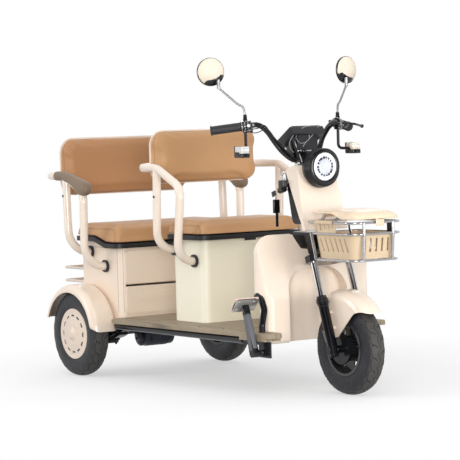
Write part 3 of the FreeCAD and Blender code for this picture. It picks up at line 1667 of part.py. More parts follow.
def grommets():
    """Black rings where the hoops enter the side walls."""
    feet = [
        (front_hoop_foot_x, seat_box_half_width, front_hoop_foot_z),
        (front_hoop_rear_foot_x, seat_box_half_width, front_hoop_rear_foot_z),
        (rear_hoop_foot_x, rear_box_half_width, rear_hoop_foot_z),
        (rear_hoop_rear_foot_x, rear_box_half_width, rear_hoop_rear_foot_z),
    ]
    rings = []
    for x, y, z in feet:
        start = vec(x, -y - seat_gap, z)
        ring = hollow_rod(start, start - Y_AXIS * grommet_thickness, grommet_radius, hoop_radius + seat_gap)
        rings.append(ring)
        rings.append(mirrored(ring))
    return Part.makeCompound(rings)


def arm_pads():
    """Sleeves on the rear hoop's armrests."""
    start = vec(rear_hoop_rear_post_x, -rear_hoop_y, rear_hoop_bar_z)
    end = vec(rear_hoop_post_x, -rear_hoop_y, rear_hoop_elbow_z)
    run = (end - start).normalize()
    first = start + run * (2 * hoop_radius)
    last = end - run * (3 * hoop_radius)
    return both_sides(hollow_rod(first, last, arm_pad_radius, hoop_radius + seat_gap))


def rear_fenders():
    """Hoods over the rear tyres, open toward the side and closed against the rear box."""
    centre = vec(-rear_fender_behind, 0, tyre_radius)
    inner_y = rear_box_half_width + seat_gap
    outer_y = rear_fender_outer_y
    thick = rear_fender_wall
    radius = rear_fender_radius
    section = [
        (rear_fender_inner_skirt, inner_y),
        (radius, inner_y),
        (radius, outer_y),
        (rear_fender_outer_skirt, outer_y),
        (rear_fender_outer_skirt, outer_y - thick),
        (radius - thick, outer_y - thick),
        (radius - thick, inner_y + thick),
        (rear_fender_inner_skirt, inner_y + thick),
    ]
    outside = (rear_fender_inner_round, rear_fender_outer_round)
    radii = [0, outside[0], outside[1], 0, 0, outside[1] - thick, outside[0] - thick, 0]
    hood = turned([(r, -y) for r, y in section], centre, Y_AXIS * -1, X_AXIS, full_turn / 2, radii)
    high = tyre_radius + radius + overrun
    reach = radius + rear_fender_behind + overrun
    lobe = plate_yz([(inner_y - overrun, rear_fender_front_z), (outer_y, rear_fender_front_z),
                     (outer_y, high), (inner_y - overrun, high)],
                    [0, rear_fender_lobe_round, 0, 0], -rear_fender_behind, reach)
    back = box(vec(-reach, inner_y - overrun, rear_fender_rear_z), vec(-rear_fender_behind, outer_y + overrun, high))
    return both_sides(hood.common(lobe.fuse(back)))


def rear_axle():
    """Axle tube with brake plates, stub shafts and a rounded gear housing."""
    centre = vec(0, 0, tyre_radius)
    half = axle_tube_half_length
    pieces = [rod(centre - Y_AXIS * half, centre + Y_AXIS * half, axle_tube_radius)]
    flank = diff_radius * diff_flank_share
    housing = turned([(0, -diff_half_width), (flank, -diff_half_width),
                      (diff_radius, -diff_half_width / 2), (diff_radius, diff_half_width / 2),
                      (flank, diff_half_width), (0, diff_half_width)],
                     centre, Y_AXIS, X_AXIS)
    pieces.append(housing)
    stub_end = rear_wheel_y + bead_half_width
    for side in (-1, 1):
        pieces.append(rod(centre + Y_AXIS * (side * half), centre + Y_AXIS * (side * stub_end), axle_radius))
        pieces.append(rod(centre + Y_AXIS * (side * half), centre + Y_AXIS * (side * (half + drum_plate_thickness)),
                          drum_plate_radius))
    return fuse(pieces)


def motor():
    start = vec(motor_x, motor_y - motor_length / 2, motor_z)
    return rod(start, start + Y_AXIS * motor_length, motor_radius)


def leaf_springs():
    """Stacked leaves hung from the frame's cross tubes and clamped under the axle."""
    rail_top = floor_bottom - seat_gap
    eye_z = rail_top - rail_height / 2
    low_z = tyre_radius - axle_tube_radius - seat_gap
    rise = eye_z - low_z + spring_leaf / 2
    radius = (spring_half_length ** 2 + rise ** 2) / (2 * rise)
    centre = vec(0, -spring_y, low_z + radius)
    leaves = []
    for i in range(spring_leaf_count):
        reach = spring_half_length * (spring_leaf_count - i) / spring_leaf_count
        half_angle = math.asin(reach / radius)
        inner = radius + spring_leaf * i
        section = [
            (inner, -spring_half_width),
            (inner + spring_leaf, -spring_half_width),
            (inner + spring_leaf, spring_half_width),
            (inner, spring_half_width),
        ]
        start = vec(math.sin(half_angle), 0, -math.cos(half_angle))
        leaves.append(turned(section, centre, Y_AXIS, start, math.degrees(2 * half_angle)))
    bores = []
    for x in (-spring_half_length, spring_half_length):
        low = vec(x, -spring_y - spring_half_width, eye_z)
        high = vec(x, -spring_y + spring_half_width, eye_z)
        leaves.append(rod(low, high, spring_eye_radius))
        bores.append(rod(low - Y_AXIS * overrun, high + Y_AXIS * overrun, spring_eye_radius - rim_wall + seat_gap))
    base_z = low_z - spring_leaf * spring_leaf_count
    plate = box(vec(-spring_clamp_half - spring_clamp_bolt_radius, -spring_y - spring_clamp_half, base_z - spring_leaf),
                vec(spring_clamp_half + spring_clamp_bolt_radius, -spring_y + spring_clamp_half, base_z + spring_leaf))
    leaves.append(plate)
    for x in (-spring_clamp_half + spring_clamp_bolt_radius, spring_clamp_half - spring_clamp_bolt_radius):
        for y in (-spring_y - spring_half_width - spring_clamp_bolt_radius,
                  -spring_y + spring_half_width + spring_clamp_bolt_radius):
            leaves.append(rod(vec(x, y, base_z - 2 * spring_leaf),
                              vec(x, y, tyre_radius + axle_tube_radius), spring_clamp_bolt_radius))
    return both_sides(fuse(leaves).cut(bores))


def bumper_bars():
    """Two U-shaped tubes behind the rear box, whose ends seat on its rounded rear corners."""
    start = rear_box_rear_x + rear_box_corner
    low = vec(rear_box_rear_x - seat_gap, -rear_box_half_width - seat_gap, bumper_low_z - overrun)
    high = vec(rear_box_front_x, rear_box_half_width + seat_gap, bumper_high_z + overrun)
    body = rounded_block(low, high, rear_box_corner + seat_gap)
    bars = []
    for height in (bumper_low_z, bumper_high_z):
        bar = pipe([vec(start, -bumper_y, height), vec(bumper_rear_x, -bumper_y, height),
                    vec(bumper_rear_x, bumper_y, height), vec(start, bumper_y, height)],
                   [bumper_bend, bumper_bend], bumper_radius)
        bars.append(bar.cut(body))
    return Part.makeCompound(bars)


def tail_lamps():
    face = rear_box_rear_x - seat_gap
    low = vec(face - tail_lamp_depth, -tail_lamp_outer_y + rear_box_corner, tail_lamp_low_z)
    high = vec(face, -tail_lamp_inner_y + rear_box_corner, tail_lamp_high_z)
    return both_sides(rounded_block(low, high, tail_lamp_depth / 3, cluster_round / 2, cluster_round / 2))


def brake_pedal():
    """Arm outside the floor's edge, with its pin and a tilted foot pad."""
    low = vec(pedal_pivot_x, -pedal_y, pedal_pivot_z)
    top = vec(pedal_top_x, -pedal_y, pedal_top_z)
    run = (top - low).normalize()
    across = run.cross(Y_AXIS).normalize() * (pedal_arm_width / 2)
    arm = rounded_face([low - across - Y_AXIS * pedal_arm_half, low + across - Y_AXIS * pedal_arm_half,
                        top + across / 2 - Y_AXIS * pedal_arm_half, top - across / 2 - Y_AXIS * pedal_arm_half],
                       [0, 0, 0, 0]).extrude(Y_AXIS * (2 * pedal_arm_half))
    boss = rod(low - Y_AXIS * pedal_arm_half, low + Y_AXIS * pedal_arm_half, pedal_arm_width / 2)
    pin_end = -floor_front_half_width + side_tube_radius
    pin = rod(low, vec(low.x, pin_end, low.z), pedal_pin_radius)
    pad = rounded_block(vec(-pedal_pad_height / 2, -pedal_pad_half_width, 0),
                        vec(pedal_pad_height / 2, pedal_pad_half_width, pedal_pad_thickness),
                        pedal_pad_height / 3)
    pad.rotate(vec(0, 0, 0), Y_AXIS, pedal_pad_tilt - right_angle)
    pad.translate(top)
    return fuse([arm, boss, pin, pad])


def pedal_bracket():
    """Plate and arm from the right side tube that carry the pedal's pin."""
    inner = -floor_front_half_width + side_tube_radius + seat_gap
    low = vec(pedal_pivot_x - pedal_bracket_half, inner, pedal_bracket_low_z)
    top = floor_top - horn_depth - seat_gap
    high = vec(pedal_bracket_x + pedal_bracket_half, inner + pedal_bracket_thickness, top)
    plate = box(low, high)
    arm = box(vec(side_tube_front_x - overrun, inner, top - side_tube_radius),
              vec(pedal_pivot_x, inner + pedal_bracket_thickness, top))
    bracket = fuse([plate, arm])
    bracket.translate(AHEAD)
    return bracket


def write(name, shape, ahead=False):
    """Saves one piece, which ahead marks as counted from the front axle."""
    placed = shape.copy()
    if ahead:
        placed.translate(AHEAD)
    placed.translate(vec(-origin_x, 0, 0))
    if placed.ShapeType == "Compound" and len(placed.Solids) == 1:
        placed = placed.Solids[0]
    placed.exportStep(os.path.join("parts", name + ".step"))


def main():
    os.makedirs("parts", exist_ok=True)
    write("front_tyre", tyre(FRONT_AXLE), True)
    for name, side in (("right", -1), ("left", 1)):
        write("rear_tyre_" + name, tyre(REAR_AXLE + Y_AXIS * (side * rear_wheel_y)))
        write("rear_rim_" + name, rear_rim(side))
    for make in (front_rim, leg_shield, guards, front_axle, steering_stem, stanchions, lower_legs,
                 front_fender, head_shroud, head_cover, headlight_bowl, headlight_lens, handlebar, grips,
                 controls, cables, mirrors, mirror_glasses, dash_box, indicators, basket_liner, basket_frame,
                 basket_lid, brake_pedal):
        write(make.__name__, make(), True)
    for make in (frame, floor_board, front_seat_box, front_seat_tray, front_cushion, rear_box, rear_panels,
                 rear_seat_tray, rear_cushion, front_hoop, rear_hoop, grommets, arm_pads, rear_fenders,
                 rear_axle, motor, leaf_springs, bumper_bars, tail_lamps):
        write(make.__name__, make())
    backs = ((front_hoop_bar_x, front_hoop_bar_z, front_back_half_width, front_back_low_z, front_back_high_z),
             (rear_hoop_bar_x, rear_hoop_bar_z, rear_back_half_width, rear_back_low_z, rear_back_high_z))
    write("back_pads", Part.makeCompound([back_pad(*sizes) for sizes in backs]))
    write("back_shells", Part.makeCompound([back_shell(*sizes) for sizes in backs]))


main()
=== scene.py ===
import bpy
import bmesh
import json
import math
import random
import numpy as np
from mathutils import Vector, Matrix


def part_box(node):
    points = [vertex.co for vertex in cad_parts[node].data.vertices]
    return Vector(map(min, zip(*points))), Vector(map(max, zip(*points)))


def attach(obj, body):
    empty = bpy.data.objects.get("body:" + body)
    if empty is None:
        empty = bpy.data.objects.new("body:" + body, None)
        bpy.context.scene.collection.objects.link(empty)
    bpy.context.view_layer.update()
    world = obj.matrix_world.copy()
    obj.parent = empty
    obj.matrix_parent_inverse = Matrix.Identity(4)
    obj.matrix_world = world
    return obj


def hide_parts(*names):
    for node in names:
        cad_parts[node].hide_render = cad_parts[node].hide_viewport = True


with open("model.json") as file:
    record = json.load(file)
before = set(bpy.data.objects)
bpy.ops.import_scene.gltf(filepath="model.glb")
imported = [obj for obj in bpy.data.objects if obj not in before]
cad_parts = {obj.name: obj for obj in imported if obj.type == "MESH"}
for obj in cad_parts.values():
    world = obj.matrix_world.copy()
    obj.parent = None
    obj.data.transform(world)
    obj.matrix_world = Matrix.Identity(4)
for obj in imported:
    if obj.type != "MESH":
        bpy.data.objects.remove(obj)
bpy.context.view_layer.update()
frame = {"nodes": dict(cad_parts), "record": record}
NODES = frame["nodes"]

# Places below are in millimetres, X from the rear axle, and at() turns them into the frame's metres.
MM = 0.001
WHEELBASE = 1440.0
TYRE_RADIUS = 186.0
HALF_TRACK = 380.0
FRONT_HOOP_HALF = 319.0
REAR_HOOP_HALF = 415.0
HOOP_TUBE_RADIUS = 17.5
RAKE = math.radians(18.3)
FULL_TURN = 2 * math.pi
X_AXIS, Y_AXIS, Z_AXIS = Vector((1, 0, 0)), Vector((0, 1, 0)), Vector((0, 0, 1))
SIDES = ((-1, "right"), (1, "left"))
FRONT_SPIN = next(j for j in frame["record"]["behaviour"]["joints"] if j["name"] == "front_wheel_spin")
ORIGIN_X = WHEELBASE - FRONT_SPIN["pos_m"][0] / MM


def at(x, y, z):
    return Vector(((x - ORIGIN_X) * MM, y * MM, z * MM))


def ahead(x, y, z):
    """A place counted from the front axle."""
    return at(x + WHEELBASE, y, z)


def srgb(r, g, b):
    """A colour as it looks on a screen, 0 to 255, as linear numbers."""
    out = []
    for v in (r, g, b):
        c = v / 255.0
        out.append(c / 12.92 if c <= 0.04045 else ((c + 0.055) / 1.055) ** 2.4)
    return tuple(out) + (1.0,)


def shade(colour, factor):
    return tuple(min(1.0, c * factor) for c in colour[:3]) + (1.0,)


# Materials
class Tree:
    """A small builder for shader trees. A value is a socket or plain numbers."""

    def __init__(self, tree):
        self.tree = tree
        tree.nodes.clear()

    def add(self, kind, **values):
        node = self.tree.nodes.new(kind)
        for key, value in values.items():
            setattr(node, key, value)
        return node

    def link(self, a, b):
        self.tree.links.new(a, b)

    def put(self, value, socket):
        if hasattr(value, "links"):
            self.link(value, socket)
        else:
            socket.default_value = value

    def math(self, op, a, b=None):
        node = self.add("ShaderNodeMath", operation=op)
        self.put(a, node.inputs[0])
        if b is not None:
            self.put(b, node.inputs[1])
        return node.outputs[0]

    def vector(self, op, a, b=None, output="Vector"):
        node = self.add("ShaderNodeVectorMath", operation=op)
        self.put(a, node.inputs[0])
        if b is not None:
            self.put(b, node.inputs[1])
        return node.outputs[output]

    def blend(self, factor, first, second):
        """Mixes two shaders."""
        node = self.add("ShaderNodeMixShader")
        for value, socket in zip((factor, first, second), node.inputs):
            self.link(value, socket)
        return node.outputs[0]

    def seen(self):
        """1 where the surface is seen directly, in a reflection or through glass, and 0 where it lights."""
        path = self.add("ShaderNodeLightPath").outputs
        direct = self.math("MAXIMUM", path["Is Camera Ray"], path["Is Glossy Ray"])
        return self.math("MAXIMUM", direct, path["Is Transmission Ray"])


class Nodes(Tree):
    """The tree of a material with one principled shader."""

    def __init__(self, name):
        self.mat = bpy.data.materials.new(name)
        self.mat.use_nodes = True
        super().__init__(self.mat.node_tree)
        self.out = self.add("ShaderNodeOutputMaterial")
        self.bsdf = self.add("ShaderNodeBsdfPrincipled")
        self.link(self.bsdf.outputs[0], self.out.inputs["Surface"])
        self.coord = self.add("ShaderNodeTexCoord").outputs["Object"]

    def noise(self, scale, detail=3.0, rough=0.5, stretch=None, distortion=0.0):
        node = self.add("ShaderNodeTexNoise")
        node.inputs["Scale"].default_value = scale
        node.inputs["Detail"].default_value = detail
        node.inputs["Roughness"].default_value = rough
        node.inputs["Distortion"].default_value = distortion
        self.link(self.stretched(stretch) if stretch else self.coord, node.inputs["Vector"])
        return node.outputs["Fac"]

    def stretched(self, stretch):
        node = self.add("ShaderNodeMapping")
        node.inputs["Scale"].default_value = stretch
        self.link(self.coord, node.inputs["Vector"])
        return node.outputs["Vector"]

    def ramp(self, value, low, high, first=0.0, last=1.0):
        node = self.add("ShaderNodeMapRange", clamp=True)
        node.inputs["From Min"].default_value = low
        node.inputs["From Max"].default_value = high
        node.inputs["To Min"].default_value = first
        node.inputs["To Max"].default_value = last
        self.link(value, node.inputs["Value"])
        return node.outputs["Result"]

    def mix(self, factor, a, b):
        """Mixes two colours."""
        node = self.add("ShaderNodeMix", data_type="RGBA", blend_type="MIX")
        for value, socket in ((factor, node.inputs[0]), (a, node.inputs[6]), (b, node.inputs[7])):
            self.put(value, socket)
        return node.outputs[2]

    def patches(self, noise, dark, pale):
        """A colour that wanders between two others."""
        return self.mix(self.ramp(noise, 0.3, 0.7), dark, pale)

    def bump(self, height, strength, distance, normal=None):
        node = self.add("ShaderNodeBump")
        node.inputs["Strength"].default_value = strength
        node.inputs["Distance"].default_value = distance
        self.link(height, node.inputs["Height"])
        if normal is not None:
            self.link(normal, node.inputs["Normal"])
        return node.outputs["Normal"]

    def attribute(self, name):
        return self.add("ShaderNodeAttribute", attribute_name=name).outputs["Fac"]

    def geometry(self, output):
        return self.add("ShaderNodeNewGeometry").outputs[output]

    def places(self):
        """X, Y and Z of the shaded point."""
        split = self.add("ShaderNodeSeparateXYZ")
        self.link(self.coord, split.inputs[0])
        return [split.outputs[axis] for axis in "XYZ"]

    def base(self):
        """What colours the surface so far."""
        return self.bsdf.inputs["Base Color"].links[0].from_socket

    def set(self, **values):
        for key, value in values.items():
            self.put(value, self.bsdf.inputs[key.replace("_", " ")])


def surface(name, screen, rough=0.35, metal=0.0, spread=0.05, scale=3.0, rough_spread=0.08, grain=900.0,
            grain_depth=0.00004, grain_strength=0.25, coat=0.0, edge=None, edge_share=0.25, sheen=0.0,
            specular=0.5):
    """A painted or moulded surface with patchy colour and gloss, fine grain and an optional edge colour on
    convex edges: a paler edge is a painted highlight that also stands for some wear, and a darker one is
    wear.
    """
    n = Nodes(name)
    colour = srgb(*screen)
    base = n.patches(n.noise(scale, 4.0, 0.55), shade(colour, 1 - spread), shade(colour, 1 + spread))
    fine = n.noise(grain, 2.0, 0.6)
    base = n.mix(n.ramp(fine, 0.3, 0.7, 0.0, 0.12), base, shade(colour, 0.86))
    # Convex edges take the edge colour. Where it is paler it is a painted edge highlight with some wear;
    # where it is darker it is wear.
    if edge:
        base = n.mix(n.ramp(n.geometry("Pointiness"), 0.52, 0.62, 0.0, edge_share), base, srgb(*edge))
    gloss = n.ramp(n.noise(scale * 6, 5.0, 0.6), 0.25, 0.75, rough - rough_spread, rough + rough_spread)
    n.set(Base_Color=base, Roughness=gloss, Normal=n.bump(fine, grain_strength, grain_depth), Metallic=metal,
          IOR=1.5, Specular_IOR_Level=specular)
    if coat:
        n.set(Coat_Weight=coat, Coat_Roughness=0.08)
    if sheen:
        n.set(Sheen_Weight=sheen)
    return n


def leather(name, screen):
    """Grained seat cover whose seam grooves are painted darker, as shade."""
    n = Nodes(name)
    colour = srgb(*screen)
    base = n.patches(n.noise(2.2, 3.0, 0.5), shade(colour, 0.93), shade(colour, 1.06))
    cells = n.add("ShaderNodeTexVoronoi", feature="DISTANCE_TO_EDGE")
    cells.inputs["Scale"].default_value = 620.0
    n.link(n.coord, cells.inputs["Vector"])
    crease = n.ramp(cells.outputs["Distance"], 0.0, 0.12, 1.0, 0.0)
    base = n.mix(n.ramp(crease, 0.0, 1.0, 0.0, 0.22), base, shade(colour, 0.72))
    # Painted shade: the seam's groove is darkened.
    seam = n.attribute("seam")
    base = n.mix(n.ramp(seam, 0.0, 1.0, 0.0, 0.55), base, shade(colour, 0.45))
    height = n.math("SUBTRACT", n.math("MULTIPLY", cells.outputs["Distance"], 0.6), seam)
    wrinkle = n.noise(38.0, 4.0, 0.6, distortion=0.4)
    normal = n.bump(wrinkle, 0.10, 0.002, n.bump(height, 0.35, 0.0006))
    gloss = n.ramp(n.noise(16.0, 4.0, 0.6), 0.25, 0.75, 0.44, 0.56)
    n.set(Base_Color=base, Roughness=gloss, Normal=normal, Sheen_Weight=0.12, Specular_IOR_Level=0.35)
    return n.mat


def tread_rubber():
    """Dusty brown-grey crown, darker and shinier side walls."""
    n = Nodes("tread_rubber")
    tone = n.ramp(n.noise(9.0, 5.0, 0.6), 0.3, 0.7)
    wall, crown = srgb(36, 37, 43), srgb(68, 67, 65)
    share = n.attribute("crown")
    base = n.mix(share, n.mix(tone, shade(wall, 0.8), shade(wall, 1.2)),
                 n.mix(tone, shade(crown, 0.8), shade(crown, 1.15)))
    base = n.mix(n.ramp(n.noise(70.0, 6.0, 0.7), 0.5, 0.8, 0.0, 0.16), base, srgb(126, 120, 110))
    # Painted shade: the tread's grooves are darkened towards black.
    base = n.mix(n.ramp(n.attribute("groove"), 0.0, 1.0, 0.0, 0.85), base, srgb(18, 18, 19))
    gloss = n.ramp(n.noise(30.0, 4.0, 0.6), 0.25, 0.75, 0.36, 0.46)
    n.set(Base_Color=base, Roughness=n.math("ADD", gloss, n.math("MULTIPLY", share, 0.16)),
          Normal=n.bump(n.noise(500.0, 3.0, 0.6), 0.3, 0.0003), Specular_IOR_Level=0.3)
    return n.mat


def chrome(name, colour, rough):
    n = Nodes(name)
    streak = n.noise(60.0, 4.0, 0.6)
    base = n.patches(streak, shade(colour, 0.93), shade(colour, 1.04))
    gloss = n.ramp(n.noise(24.0, 5.0, 0.6), 0.3, 0.75, rough * 0.6, rough * 1.7)
    n.set(Base_Color=base, Roughness=gloss, Metallic=1.0, Normal=n.bump(streak, 0.04, 0.0003))
    return n.mat


def planks(name, screen):
    """Rigid floor covering printed and ribbed like narrow planks that run along the vehicle."""
    n = Nodes(name)
    colour = srgb(*screen)
    plank_width = 0.052
    across = n.math("MULTIPLY", n.places()[1], 1.0 / plank_width)
    place = n.math("FRACT", across)
    tone = n.add("ShaderNodeTexWhiteNoise", noise_dimensions="1D")
    n.link(n.math("FLOOR", across), tone.inputs["W"])
    groove = n.math("MINIMUM", n.ramp(place, 0.0, 0.05), n.ramp(place, 0.95, 1.0, 1.0, 0.0))
    figure = n.noise(5.0, 6.0, 0.62, stretch=(1.0, 14.0, 1.0), distortion=0.6)
    fine = n.noise(24.0, 5.0, 0.7, stretch=(1.0, 22.0, 1.0))
    base = n.mix(n.ramp(figure, 0.32, 0.68), shade(colour, 0.80), shade(colour, 1.18))
    base = n.mix(n.ramp(tone.outputs["Value"], 0.0, 1.0, 0.0, 0.28), base, shade(colour, 0.66))
    base = n.mix(n.ramp(fine, 0.45, 0.75, 0.0, 0.35), base, shade(colour, 0.62))
    base = n.mix(n.ramp(groove, 0.0, 1.0, 0.75, 0.0), base, shade(colour, 0.25))
    height = n.math("ADD", groove, n.math("MULTIPLY", fine, 0.15))
    n.set(Base_Color=base, Roughness=n.ramp(fine, 0.3, 0.7, 0.42, 0.6), Normal=n.bump(height, 0.5, 0.001))
    return n.mat


def glass(name, colour, rough=0.04):
    n = Nodes(name)
    fine = n.noise(300.0, 2.0, 0.5)
    n.set(Base_Color=n.patches(fine, shade(colour, 0.96), colour),
          Roughness=n.ramp(n.noise(20.0, 4.0), 0.3, 0.7, rough * 0.5, rough * 1.5),
          Transmission_Weight=1.0, IOR=1.45, Normal=n.bump(fine, 0.02, 0.0002))
    return n.mat


def lit(name, colour, strength, low):
    """A surface that glows, a little unevenly."""
    n = Nodes(name)
    patch = n.noise(120.0, 2.0, 0.5)
    tint = n.patches(patch, shade(colour, low), colour)
    n.set(Base_Color=tint, Roughness=n.ramp(patch, 0.2, 0.8, 0.12, 0.3), Emission_Color=tint,
          Emission_Strength=strength)
    return n.mat


CREAM = (243, 225, 206)
GLOSS_PAINT = dict(spread=0.008, scale=1.2, rough_spread=0.04, coat=0.5, grain_depth=0.00002)


def fender_paint(name, inside, centres):
    """Cream outside; faces that look at the wheel's axle take a darker inside colour, the painted shade under
    the fender.
    """
    n = surface(name, CREAM, 0.24, **GLOSS_PAINT)
    base = n.base()
    inside = srgb(*inside)
    facing = None
    for centre, side in centres:
        away = n.vector("MULTIPLY", n.vector("SUBTRACT", centre, n.coord), (1.0, 4.0, 1.0))
        dot = n.vector("DOT_PRODUCT", n.vector("NORMALIZE", away), n.geometry("True Normal"), "Value")
        part = n.ramp(dot, 0.22, 0.34)
        if side:
            here = n.ramp(n.math("MULTIPLY", n.places()[1], float(side)), 0.0, 0.001)
            part = n.math("MULTIPLY", part, here)
        facing = part if facing is None else n.math("MAXIMUM", facing, part)
    # Painted shade inside the fender, in patches.
    inside_shade = n.patches(n.noise(14.0, 4.0, 0.6), shade(inside, 0.8), shade(inside, 1.15))
    n.set(Base_Color=n.mix(facing, base, inside_shade))
    return n.mat


def wheel_enamel():
    """Pale enamel outside; the inside of the rims is painted near black, as the shade there and behind the
    cover's slots.
    """
    n = surface("wheel_enamel", (232, 214, 197), 0.34, spread=0.03)
    inner_side = 0.396
    away = n.math("ABSOLUTE", n.places()[1])
    # Painted shade: the rims' inner side is near black.
    inside = n.ramp(away, inner_side, inner_side + 0.0005, 1.0, 0.0)
    n.set(Base_Color=n.mix(inside, n.base(), srgb(24, 25, 29)))
    return n.mat


def box_cream():
    """Cream box with dark lines painted for the shade in the grooves beside its corner posts and in the seam
    around its sides and back.
    """
    post_x, front_x, seam_end_x, post_side, seam_z, post_low_z = 199, 221, 160, 291, 562, 282
    n = surface("box_cream", CREAM, 0.24, **GLOSS_PAINT)
    base = n.base()
    x, y, z = n.places()
    side = n.math("ABSOLUTE", y)

    def near(value, place, half):
        return n.math("LESS_THAN", n.math("ABSOLUTE", n.math("SUBTRACT", value, place)), half * MM)

    def both(a, b):
        return n.math("MULTIPLY", a, b)

    on_side = n.math("GREATER_THAN", side, 0.300)
    on_front = n.math("GREATER_THAN", x, (front_x - ORIGIN_X) * MM)
    post = n.math("MAXIMUM", both(near(x, (post_x - ORIGIN_X) * MM, 1.6), on_side),
                  both(near(side, post_side * MM, 1.5), on_front))
    post = both(post, n.math("GREATER_THAN", z, post_low_z * MM))
    seam = both(near(z, seam_z * MM, 1.3), n.math("LESS_THAN", x, (seam_end_x - ORIGIN_X) * MM))
    # Painted shade of the grooves: the lines darken the cream towards brown.
    lines = n.math("MULTIPLY", n.math("MAXIMUM", post, seam), 0.62)
    n.set(Base_Color=n.mix(lines, base, srgb(112, 92, 76)))
    return n.mat


# Each row: the material's name, its colour on a screen, its roughness and what else differs.
SURFACES = {
    "cream": ("cream_paint", CREAM, 0.24, dict(GLOSS_PAINT, edge=(252, 238, 224), edge_share=0.4)),
    "ivory": ("ivory_moulding", (247, 241, 219), 0.3,
              dict(spread=0.004, scale=1.0, rough_spread=0.01, coat=0.3, grain_depth=0.00001)),
    "hoop": ("hoop_enamel", (244, 228, 212), 0.22, dict(spread=0.01, coat=0.6, edge=(252, 240, 228))),
    "black_frame": ("frame_enamel", (13, 14, 18), 0.22,
                    dict(spread=0.2, coat=0.3, specular=0.15, edge=(70, 70, 74), edge_share=0.2)),
    "black_rim": ("wheel_black", (18, 19, 22), 0.2,
                  dict(spread=0.15, coat=0.5, specular=0.2, edge=(110, 110, 112), edge_share=0.3)),
    "black_trim": ("trim_plastic", (22, 22, 25), 0.34,
                   dict(spread=0.15, grain=1400.0, specular=0.22, grain_depth=0.00008, grain_strength=0.4,
                        edge=(90, 90, 92))),
    "gloss_black": ("gloss_black", (16, 16, 19), 0.16,
                    dict(spread=0.1, coat=0.5, specular=0.2, edge=(80, 80, 84))),
    "grip": ("grip_rubber", (34, 35, 38), 0.42,
             dict(spread=0.15, grain=700.0, grain_depth=0.0002, specular=0.35, edge=(88, 88, 90))),
    "grey_rubber": ("grey_rubber", (92, 93, 97), 0.5, dict(spread=0.08, grain_depth=0.00012)),
    "arm": ("arm_rubber", (128, 108, 87), 0.5, dict(grain_depth=0.00012, grain_strength=0.4, sheen=0.1)),
    "liner": ("liner_plastic", (222, 198, 165), 0.4, dict(spread=0.03, grain=1200.0, grain_depth=0.00006)),
    "lid": ("lid_plastic", (240, 215, 184), 0.3, dict(spread=0.01, coat=0.3)),
    "motor": ("motor_paint", (24, 29, 44), 0.3, dict(spread=0.12, specular=0.3, edge=(70, 74, 86))),
    "bright": ("pale_paint", (222, 205, 192), 0.3, dict(coat=0.3)),
    "steel": ("pedal_steel", (196, 194, 190), 0.3,
              dict(metal=0.85, spread=0.12, grain=500.0, grain_depth=0.0002, edge=(190, 188, 184))),
    "pedal_pink": ("pedal_tread", (226, 196, 184), 0.4, dict(grain_depth=0.0001)),
    "red": ("red_lens", (120, 22, 24), 0.12, dict(spread=0.1, coat=0.8)),
    "mirror_cream": ("mirror_shell", (245, 232, 212), 0.42,
                     dict(spread=0.01, grain_depth=0.00001, specular=0.3)),
    "lamp_dark": ("lamp_reflector", (40, 40, 92), 0.2, dict(spread=0.3, scale=40.0)),
    "wire_grey": ("wire_sleeve", (158, 160, 164), 0.35, dict(spread=0.1, coat=0.3)),
    "screen": ("dash_screen", (14, 16, 20), 0.08, dict(spread=0.2, coat=0.8)),
    # The indicator lenses' near-white edge colour paints the glints on their ribs.
    "lens_silver": ("lens_silver", (214, 214, 210), 0.1,
                    dict(metal=0.35, spread=0.18, scale=90.0, coat=0.9, edge=(250, 250, 250),
                         edge_share=0.6)),
    "lens_amber": ("lens_amber", (222, 214, 196), 0.1,
                   dict(metal=0.3, spread=0.2, scale=90.0, coat=0.9, edge=(252, 246, 232), edge_share=0.6)),
}
M = {key: surface(name, screen, rough, **more).mat for key, (name, screen, rough, more) in SURFACES.items()}
M.update({
    "box_cream": box_cream(),
    "rim_cream": wheel_enamel(),
    # The fenders' inside colours are painted shade.
    "fender_front": fender_paint("front_fender_paint", (196, 132, 82), [(ahead(0, 0, 200), 0)]),
    "fender_rear": fender_paint("rear_fender_paint", (122, 106, 92),
                                [(at(0, side * HALF_TRACK, TYRE_RADIUS), side) for side, _ in SIDES]),
    "chrome": chrome("basket_chrome", (0.46, 0.46, 0.47, 1), 0.16),
    "stanchion": chrome("fork_chrome", (0.62, 0.62, 0.64, 1), 0.05),
    "mirror": chrome("mirror_glass", (0.86, 0.88, 0.9, 1), 0.02),
    "stem_grey": chrome("stem_grey", (0.36, 0.36, 0.37, 1), 0.34),
    "clamp_silver": chrome("clamp_silver", (0.50, 0.50, 0.51, 1), 0.2),
    "seat": leather("seat_leather", (197, 151, 106)),
    # A darker copy of the seat leather, painted shade on the rear back pad.
    "seat_shaded": leather("seat_leather_shaded", (190, 140, 97)),
    "tread": tread_rubber(),
    "deck": planks("deck_covering", (158, 142, 119)),
    "lens": glass("lamp_glass", (0.95, 0.97, 1.0, 1)),
    "lamp_white": lit("lamp_white", (0.9, 0.9, 0.9, 1), 0.25, 0.93),
    "lamp_centre": lit("lamp_centre", (0.93, 0.94, 0.96, 1), 0.5, 0.85),
})

